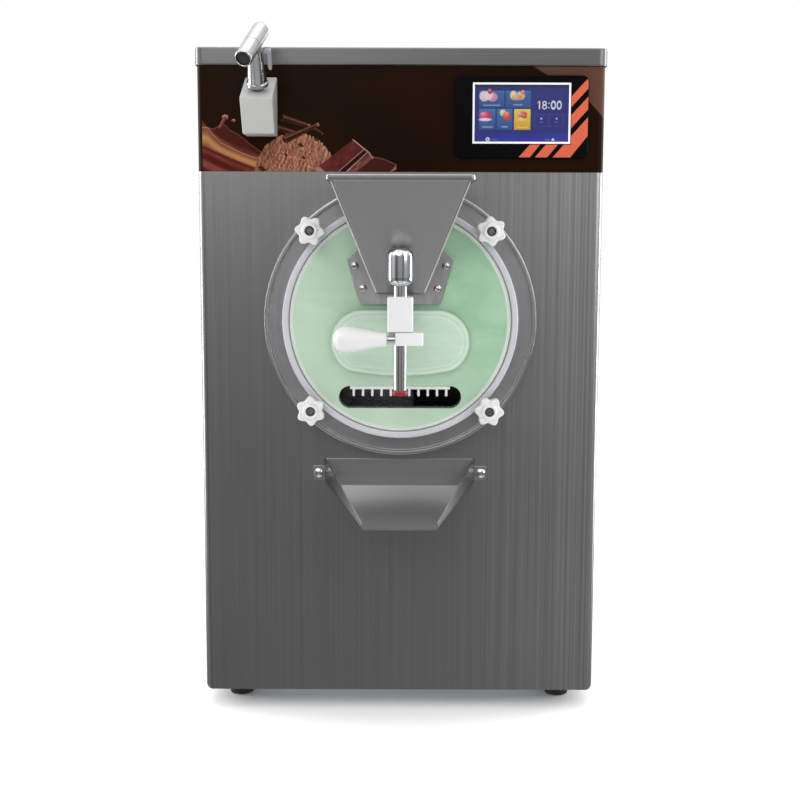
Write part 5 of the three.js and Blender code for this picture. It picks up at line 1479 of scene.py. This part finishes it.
def soft_light(name, place, aim, width, height, power):
    """A soft area light that looks at a point."""
    lamp = bpy.data.lights.new(name, "AREA")
    lamp.shape = "RECTANGLE"
    lamp.size, lamp.size_y, lamp.energy = width, height, power
    obj = bpy.data.objects.new(name, lamp)
    turn = (Vector(aim) - Vector(place)).to_track_quat("-Z", "Y").to_matrix().to_4x4()
    obj.matrix_world = Matrix.Translation(place) @ turn
    bpy.context.scene.collection.objects.link(obj)
    return obj


def build_world(settings):
    """White to the camera; to everything else a studio that is darkest at the level of the machine."""
    world = bpy.data.worlds.new("studio")
    bpy.context.scene.world = world
    world.use_nodes = True
    tree = world.node_tree
    tree.nodes.clear()
    link = tree.links.new
    coord = tree.nodes.new("ShaderNodeTexCoord")
    parts = tree.nodes.new("ShaderNodeSeparateXYZ")
    link(coord.outputs["Object"], parts.inputs[0])
    spot = tree.nodes.new("ShaderNodeMapRange")
    spot.inputs["From Min"].default_value = -1.0
    link(parts.outputs["Z"], spot.inputs["Value"])
    ramp = tree.nodes.new("ShaderNodeValToRGB")
    link(spot.outputs[0], ramp.inputs[0])
    stops = [
        (0.0, 0.9), (0.14, 0.8), (0.24, 0.22), (0.42, 0.21), (0.50, 0.36), (0.64, 0.64), (0.78, 1.3),
        (1.0, 1.6),
    ]
    ramp.color_ramp.elements[0].position, ramp.color_ramp.elements[1].position = stops[0][0], stops[-1][0]
    ramp.color_ramp.elements[0].color = (stops[0][1],) * 3 + (1,)
    ramp.color_ramp.elements[1].color = (stops[-1][1],) * 3 + (1,)
    for position, value in stops[1:-1]:
        ramp.color_ramp.elements.new(position).color = (value, value, value, 1)
    around, seen = tree.nodes.new("ShaderNodeBackground"), tree.nodes.new("ShaderNodeBackground")
    around.inputs["Strength"].default_value = settings.ambient
    # Softboxes and dark flags stand round the studio; the bands are (angle from the front, brightness).
    ahead = tree.nodes.new("ShaderNodeMath")
    ahead.operation = "MULTIPLY"
    ahead.inputs[1].default_value = -1.0
    link(parts.outputs["Y"], ahead.inputs[0])
    angle = tree.nodes.new("ShaderNodeMath")
    angle.operation = "ARCTAN2"
    link(parts.outputs["X"], angle.inputs[0])
    link(ahead.outputs[0], angle.inputs[1])
    bands = [
        (-180, 0.5), (-120, 0.6), (-92, 0.45), (-70, 0.9), (-55, 0.85), (-42, 0.16), (-27, 0.22),
        (-16, 0.5), (14, 0.52), (20, 0.2), (28, 0.3), (36, 0.62), (60, 0.6), (84, 0.42), (104, 0.5),
        (180, 0.5),
    ]
    turn = tree.nodes.new("ShaderNodeMapRange")
    turn.inputs["From Min"].default_value, turn.inputs["From Max"].default_value = -math.pi, math.pi
    link(angle.outputs[0], turn.inputs["Value"])
    flags = tree.nodes.new("ShaderNodeValToRGB")
    link(turn.outputs[0], flags.inputs[0])
    for degrees, value in bands[1:-1]:
        flags.color_ramp.elements.new((degrees + 180) / 360).color = (value, value, value, 1)
    for element, (_, value) in (
        (flags.color_ramp.elements[0], bands[0]), (flags.color_ramp.elements[-1], bands[-1])
    ):
        element.color = (value, value, value, 1)
    both = tree.nodes.new("ShaderNodeMix")
    both.data_type, both.blend_type = "RGBA", "MULTIPLY"
    both.inputs[0].default_value = 1.0
    link(ramp.outputs[0], both.inputs[6])
    link(flags.outputs[0], both.inputs[7])
    link(both.outputs[2], around.inputs["Color"])
    seen.inputs["Color"].default_value = (settings.backdrop,) * 3 + (1,)
    path, choose = tree.nodes.new("ShaderNodeLightPath"), tree.nodes.new("ShaderNodeMixShader")
    link(path.outputs["Is Camera Ray"], choose.inputs[0])
    link(around.outputs[0], choose.inputs[1])
    link(seen.outputs[0], choose.inputs[2])
    link(choose.outputs[0], tree.nodes.new("ShaderNodeOutputWorld").inputs[0])


def build_stage(settings):
    """The floor, the studio light and the camera."""
    floor = add_mesh("floor", [(-6, -6, 0), (6, -6, 0), (6, 6, 0), (-6, 6, 0)], [(0, 1, 2, 3)])
    floor.data.materials.append(bpy.data.materials["floor_paper"])
    floor.visible_glossy = False
    build_world(settings)
    centre = (0, FRONT, 0.42)
    soft_light("key", (-0.9, FRONT - 2.2, 1.9), centre, 1.6, 1.2, settings.key)
    soft_light("fill", (1.6, FRONT - 1.6, 1.2), centre, 1.0, 1.4, settings.fill)
    soft_light("top", (0, 0, 2.4), (0, 0, 0.4), 1.8, 1.8, settings.top)
    soft_light("left_side", (-2.0, FRONT + 0.5, 0.7), (0, FRONT + 0.3, 0.5), 0.6, 1.8, settings.side)
    soft_light("right_side", (2.0, FRONT + 0.5, 0.7), (0, FRONT + 0.3, 0.5), 0.6, 1.8, settings.side)
    soft_light("behind", (0.6, BACK + 1.8, 1.5), (0, BACK, 0.4), 1.4, 1.2, settings.fill)

    camera = bpy.data.cameras.new("camera")
    camera.lens, camera.sensor_width = settings.lens, 36.0
    camera.clip_start, camera.clip_end = 0.05, 50
    view = bpy.data.objects.new("camera", camera)
    level = Matrix.Rotation(math.pi / 2 - settings.tilt, 4, "X")
    turn = level @ Matrix.Rotation(settings.roll, 4, "Z")
    view.matrix_world = Matrix.Translation((0, FRONT - settings.distance, settings.eye)) @ turn
    bpy.context.scene.collection.objects.link(view)
    bpy.context.scene.camera = view
    bpy.context.scene.view_settings.view_transform = "Standard"


# ---- add-on ------------------------------------------------------------------------------------------


def length(name, text, value):
    """A length setting, in metres."""
    return FloatProperty(name=name, description=text, default=value, subtype="DISTANCE", unit="LENGTH")


def tone(name, text, value):
    """A colour setting."""
    limits = {"size": 3, "min": 0, "max": 1}
    return FloatVectorProperty(name=name, description=text, default=value, subtype="COLOR", **limits)


def power(name, text, value):
    """A lamp's power in watts."""
    return FloatProperty(name=name, description=text, default=value, min=0, unit="POWER")


def angle(name, text, degrees):
    """An angle setting, given in degrees."""
    return FloatProperty(name=name, description=text, default=math.radians(degrees), subtype="ANGLE")


class FinishSettings(bpy.types.PropertyGroup):
    steel: tone("Steel", "Colour of the brushed cabinet steel", (0.33, 0.33, 0.33))
    film: tone("Film", "Colour of the dark fascia film", srgb(23, 10, 3))
    film_field: tone("Film field", "Colour of the film's lighter field", srgb(84, 57, 46))


class CabinetSettings(bpy.types.PropertyGroup):
    lid_edge: length("Lid edge", "Rounding of the lid's edges", 1.6 * MM)
    hood: length("Louvre hood", "How far the side louvres stand out", 1.8 * MM)


class DisplaySettings(bpy.types.PropertyGroup):
    print_step: length("Print step", "Grid step of the printed picture", 0.5 * MM)
    frame_width: length("Frame width", "Width of the white frame round the screen", 2.1 * MM)


class DoorSettings(bpy.types.PropertyGroup):
    thread_pitch: length("Thread pitch", "Pitch of the stud threads", 1.25 * MM)
    disc_edge: length("Disc edge", "Chamfer of the disc", 1.0 * MM)


class KnobSettings(bpy.types.PropertyGroup):
    lobe: length("Lobe", "How far a lobe stands out of the knob's mean radius", 1.75 * MM)


class HopperSettings(bpy.types.PropertyGroup):
    wall: length("Wall", "Sheet thickness of the hopper", 1.5 * MM)


class GateSettings(bpy.types.PropertyGroup):
    chamfer: length("Chamfer", "Edge rounding of the clear gate", 1.3 * MM)


class LeverSettings(bpy.types.PropertyGroup):
    smoothness: IntProperty(
        name="Smoothness", description="Steps between the grip's outline points", default=4, min=1
    )


class ChuteSettings(bpy.types.PropertyGroup):
    wall: length("Wall", "Sheet thickness of the chute", 1.6 * MM)


class SprayerSettings(bpy.types.PropertyGroup):
    edge: length("Edge", "Rounding of the holder's side edges", 1.3 * MM)


class BackSettings(bpy.types.PropertyGroup):
    pitch: length("Screw pitch", "Distance between the rear sheet's screws", 158 * MM)


class StageSettings(bpy.types.PropertyGroup):
    key: power("Key", "Power of the main light", 18)
    fill: power("Fill", "Power of the fill lights", 10)
    top: power("Top", "Power of the top light", 9)
    side: power("Side", "Power of the two side lights", 30)
    ambient: FloatProperty(
        name="Ambient", description="Strength of the surrounding light", default=1.8, min=0
    )
    backdrop: FloatProperty(name="Backdrop", description="Brightness of the backdrop", default=1.0, min=0)
    distance: length("Distance", "Distance of the camera in front of the cabinet", 1.354)
    eye: length("Eye height", "Height of the camera", 0.520)
    tilt: angle("Tilt", "How far the camera looks down", 6.955)
    roll: angle("Roll", "Roll of the camera", 0.19)
    lens: FloatProperty(
        name="Lens", description="Focal length in millimetres on a 36 mm sensor", default=55.395, min=1
    )


GROUPS = [
    FinishSettings, CabinetSettings, DisplaySettings, DoorSettings, KnobSettings, HopperSettings,
    GateSettings, LeverSettings, ChuteSettings, SprayerSettings, BackSettings, StageSettings,
]


class FreezerSettings(bpy.types.PropertyGroup):
    """All settings, one group for each operator."""
    finishes: PointerProperty(type=FinishSettings)
    cabinet: PointerProperty(type=CabinetSettings)
    display: PointerProperty(type=DisplaySettings)
    door: PointerProperty(type=DoorSettings)
    knobs: PointerProperty(type=KnobSettings)
    hopper: PointerProperty(type=HopperSettings)
    gate: PointerProperty(type=GateSettings)
    lever: PointerProperty(type=LeverSettings)
    chute: PointerProperty(type=ChuteSettings)
    sprayer: PointerProperty(type=SprayerSettings)
    back: PointerProperty(type=BackSettings)
    stage: PointerProperty(type=StageSettings)


class FREEZER_OT_finishes(bpy.types.Operator):
    """Make every finish and put it on the CAD pieces"""
    bl_idname = "freezer.finishes"
    bl_label = "Finishes"

    def execute(self, context):
        make_finishes(context.scene.freezer.finishes)
        finish_nodes()
        return {"FINISHED"}


class FREEZER_OT_cabinet(bpy.types.Operator):
    """Build the folded sheets, the lid, the feet and the louvres"""
    bl_idname = "freezer.cabinet"
    bl_label = "Cabinet"

    def execute(self, context):
        build_cabinet(context.scene.freezer.cabinet)
        return {"FINISHED"}


class FREEZER_OT_display(bpy.types.Operator):
    """Build the printed film and the display"""
    bl_idname = "freezer.display"
    bl_label = "Display"

    def execute(self, context):
        build_display(context.scene.freezer.display)
        return {"FINISHED"}


class FREEZER_OT_door(bpy.types.Operator):
    """Build the flange, the rim and the disc"""
    bl_idname = "freezer.door"
    bl_label = "Door"

    def execute(self, context):
        build_door(context.scene.freezer.door)
        return {"FINISHED"}


class FREEZER_OT_knobs(bpy.types.Operator):
    """Build the four door knobs"""
    bl_idname = "freezer.knobs"
    bl_label = "Knobs"

    def execute(self, context):
        build_knobs(context.scene.freezer.knobs)
        return {"FINISHED"}


class FREEZER_OT_hopper(bpy.types.Operator):
    """Build the bracket and the hopper"""
    bl_idname = "freezer.hopper"
    bl_label = "Hopper"

    def execute(self, context):
        build_hopper(context.scene.freezer.hopper)
        return {"FINISHED"}


class FREEZER_OT_gate(bpy.types.Operator):
    """Build the gate with its rod and knob"""
    bl_idname = "freezer.gate"
    bl_label = "Gate"

    def execute(self, context):
        build_gate(context.scene.freezer.gate)
        return {"FINISHED"}


class FREEZER_OT_lever(bpy.types.Operator):
    """Build the locking collar and its grip"""
    bl_idname = "freezer.lever"
    bl_label = "Lever"

    def execute(self, context):
        build_lever(context.scene.freezer.lever)
        return {"FINISHED"}


class FREEZER_OT_chute(bpy.types.Operator):
    """Build the chute"""
    bl_idname = "freezer.chute"
    bl_label = "Chute"

    def execute(self, context):
        build_chute(context.scene.freezer.chute)
        return {"FINISHED"}


class FREEZER_OT_sprayer(bpy.types.Operator):
    """Build the hand sprayer and its holder"""
    bl_idname = "freezer.sprayer"
    bl_label = "Sprayer"

    def execute(self, context):
        build_sprayer(context.scene.freezer.sprayer)
        return {"FINISHED"}


class FREEZER_OT_back(bpy.types.Operator):
    """Build the power inlet, the rocker and the water inlet"""
    bl_idname = "freezer.back"
    bl_label = "Back"

    def execute(self, context):
        build_back(context.scene.freezer.back)
        return {"FINISHED"}


class FREEZER_OT_stage(bpy.types.Operator):
    """Set up the floor, the light and the camera"""
    bl_idname = "freezer.stage"
    bl_label = "Stage"

    def execute(self, context):
        build_stage(context.scene.freezer.stage)
        return {"FINISHED"}


OPERATORS = [
    FREEZER_OT_finishes, FREEZER_OT_cabinet, FREEZER_OT_display, FREEZER_OT_door, FREEZER_OT_knobs,
    FREEZER_OT_hopper, FREEZER_OT_gate, FREEZER_OT_lever, FREEZER_OT_chute, FREEZER_OT_sprayer,
    FREEZER_OT_back, FREEZER_OT_stage,
]


class FREEZER_PT_panel(bpy.types.Panel):
    """Lists the operators in the order in which they are run"""
    bl_idname = "FREEZER_PT_panel"
    bl_label = "Batch Freezer"
    bl_space_type = "VIEW_3D"
    bl_region_type = "UI"
    bl_category = "Freezer"

    def draw(self, context):
        for kind in OPERATORS:
            group = getattr(context.scene.freezer, kind.bl_idname.split(".")[1])
            column = self.layout.column(align=True)
            column.operator(kind.bl_idname)
            for name in group.__annotations__:
                column.prop(group, name)


CLASSES = [*GROUPS, FreezerSettings, *OPERATORS, FREEZER_PT_panel]


def register():
    """Adds the settings, the operators and the panel."""
    for kind in CLASSES:
        bpy.utils.register_class(kind)
    bpy.types.Scene.freezer = PointerProperty(type=FreezerSettings)


def unregister():
    """Takes them away again."""
    del bpy.types.Scene.freezer
    for kind in reversed(CLASSES):
        bpy.utils.unregister_class(kind)


def main():
    """Runs every operator in turn."""
    register()
    for kind in OPERATORS:
        group, name = kind.bl_idname.split(".")
        getattr(getattr(bpy.ops, group), name)()


if __name__ == "__main__":
    main()
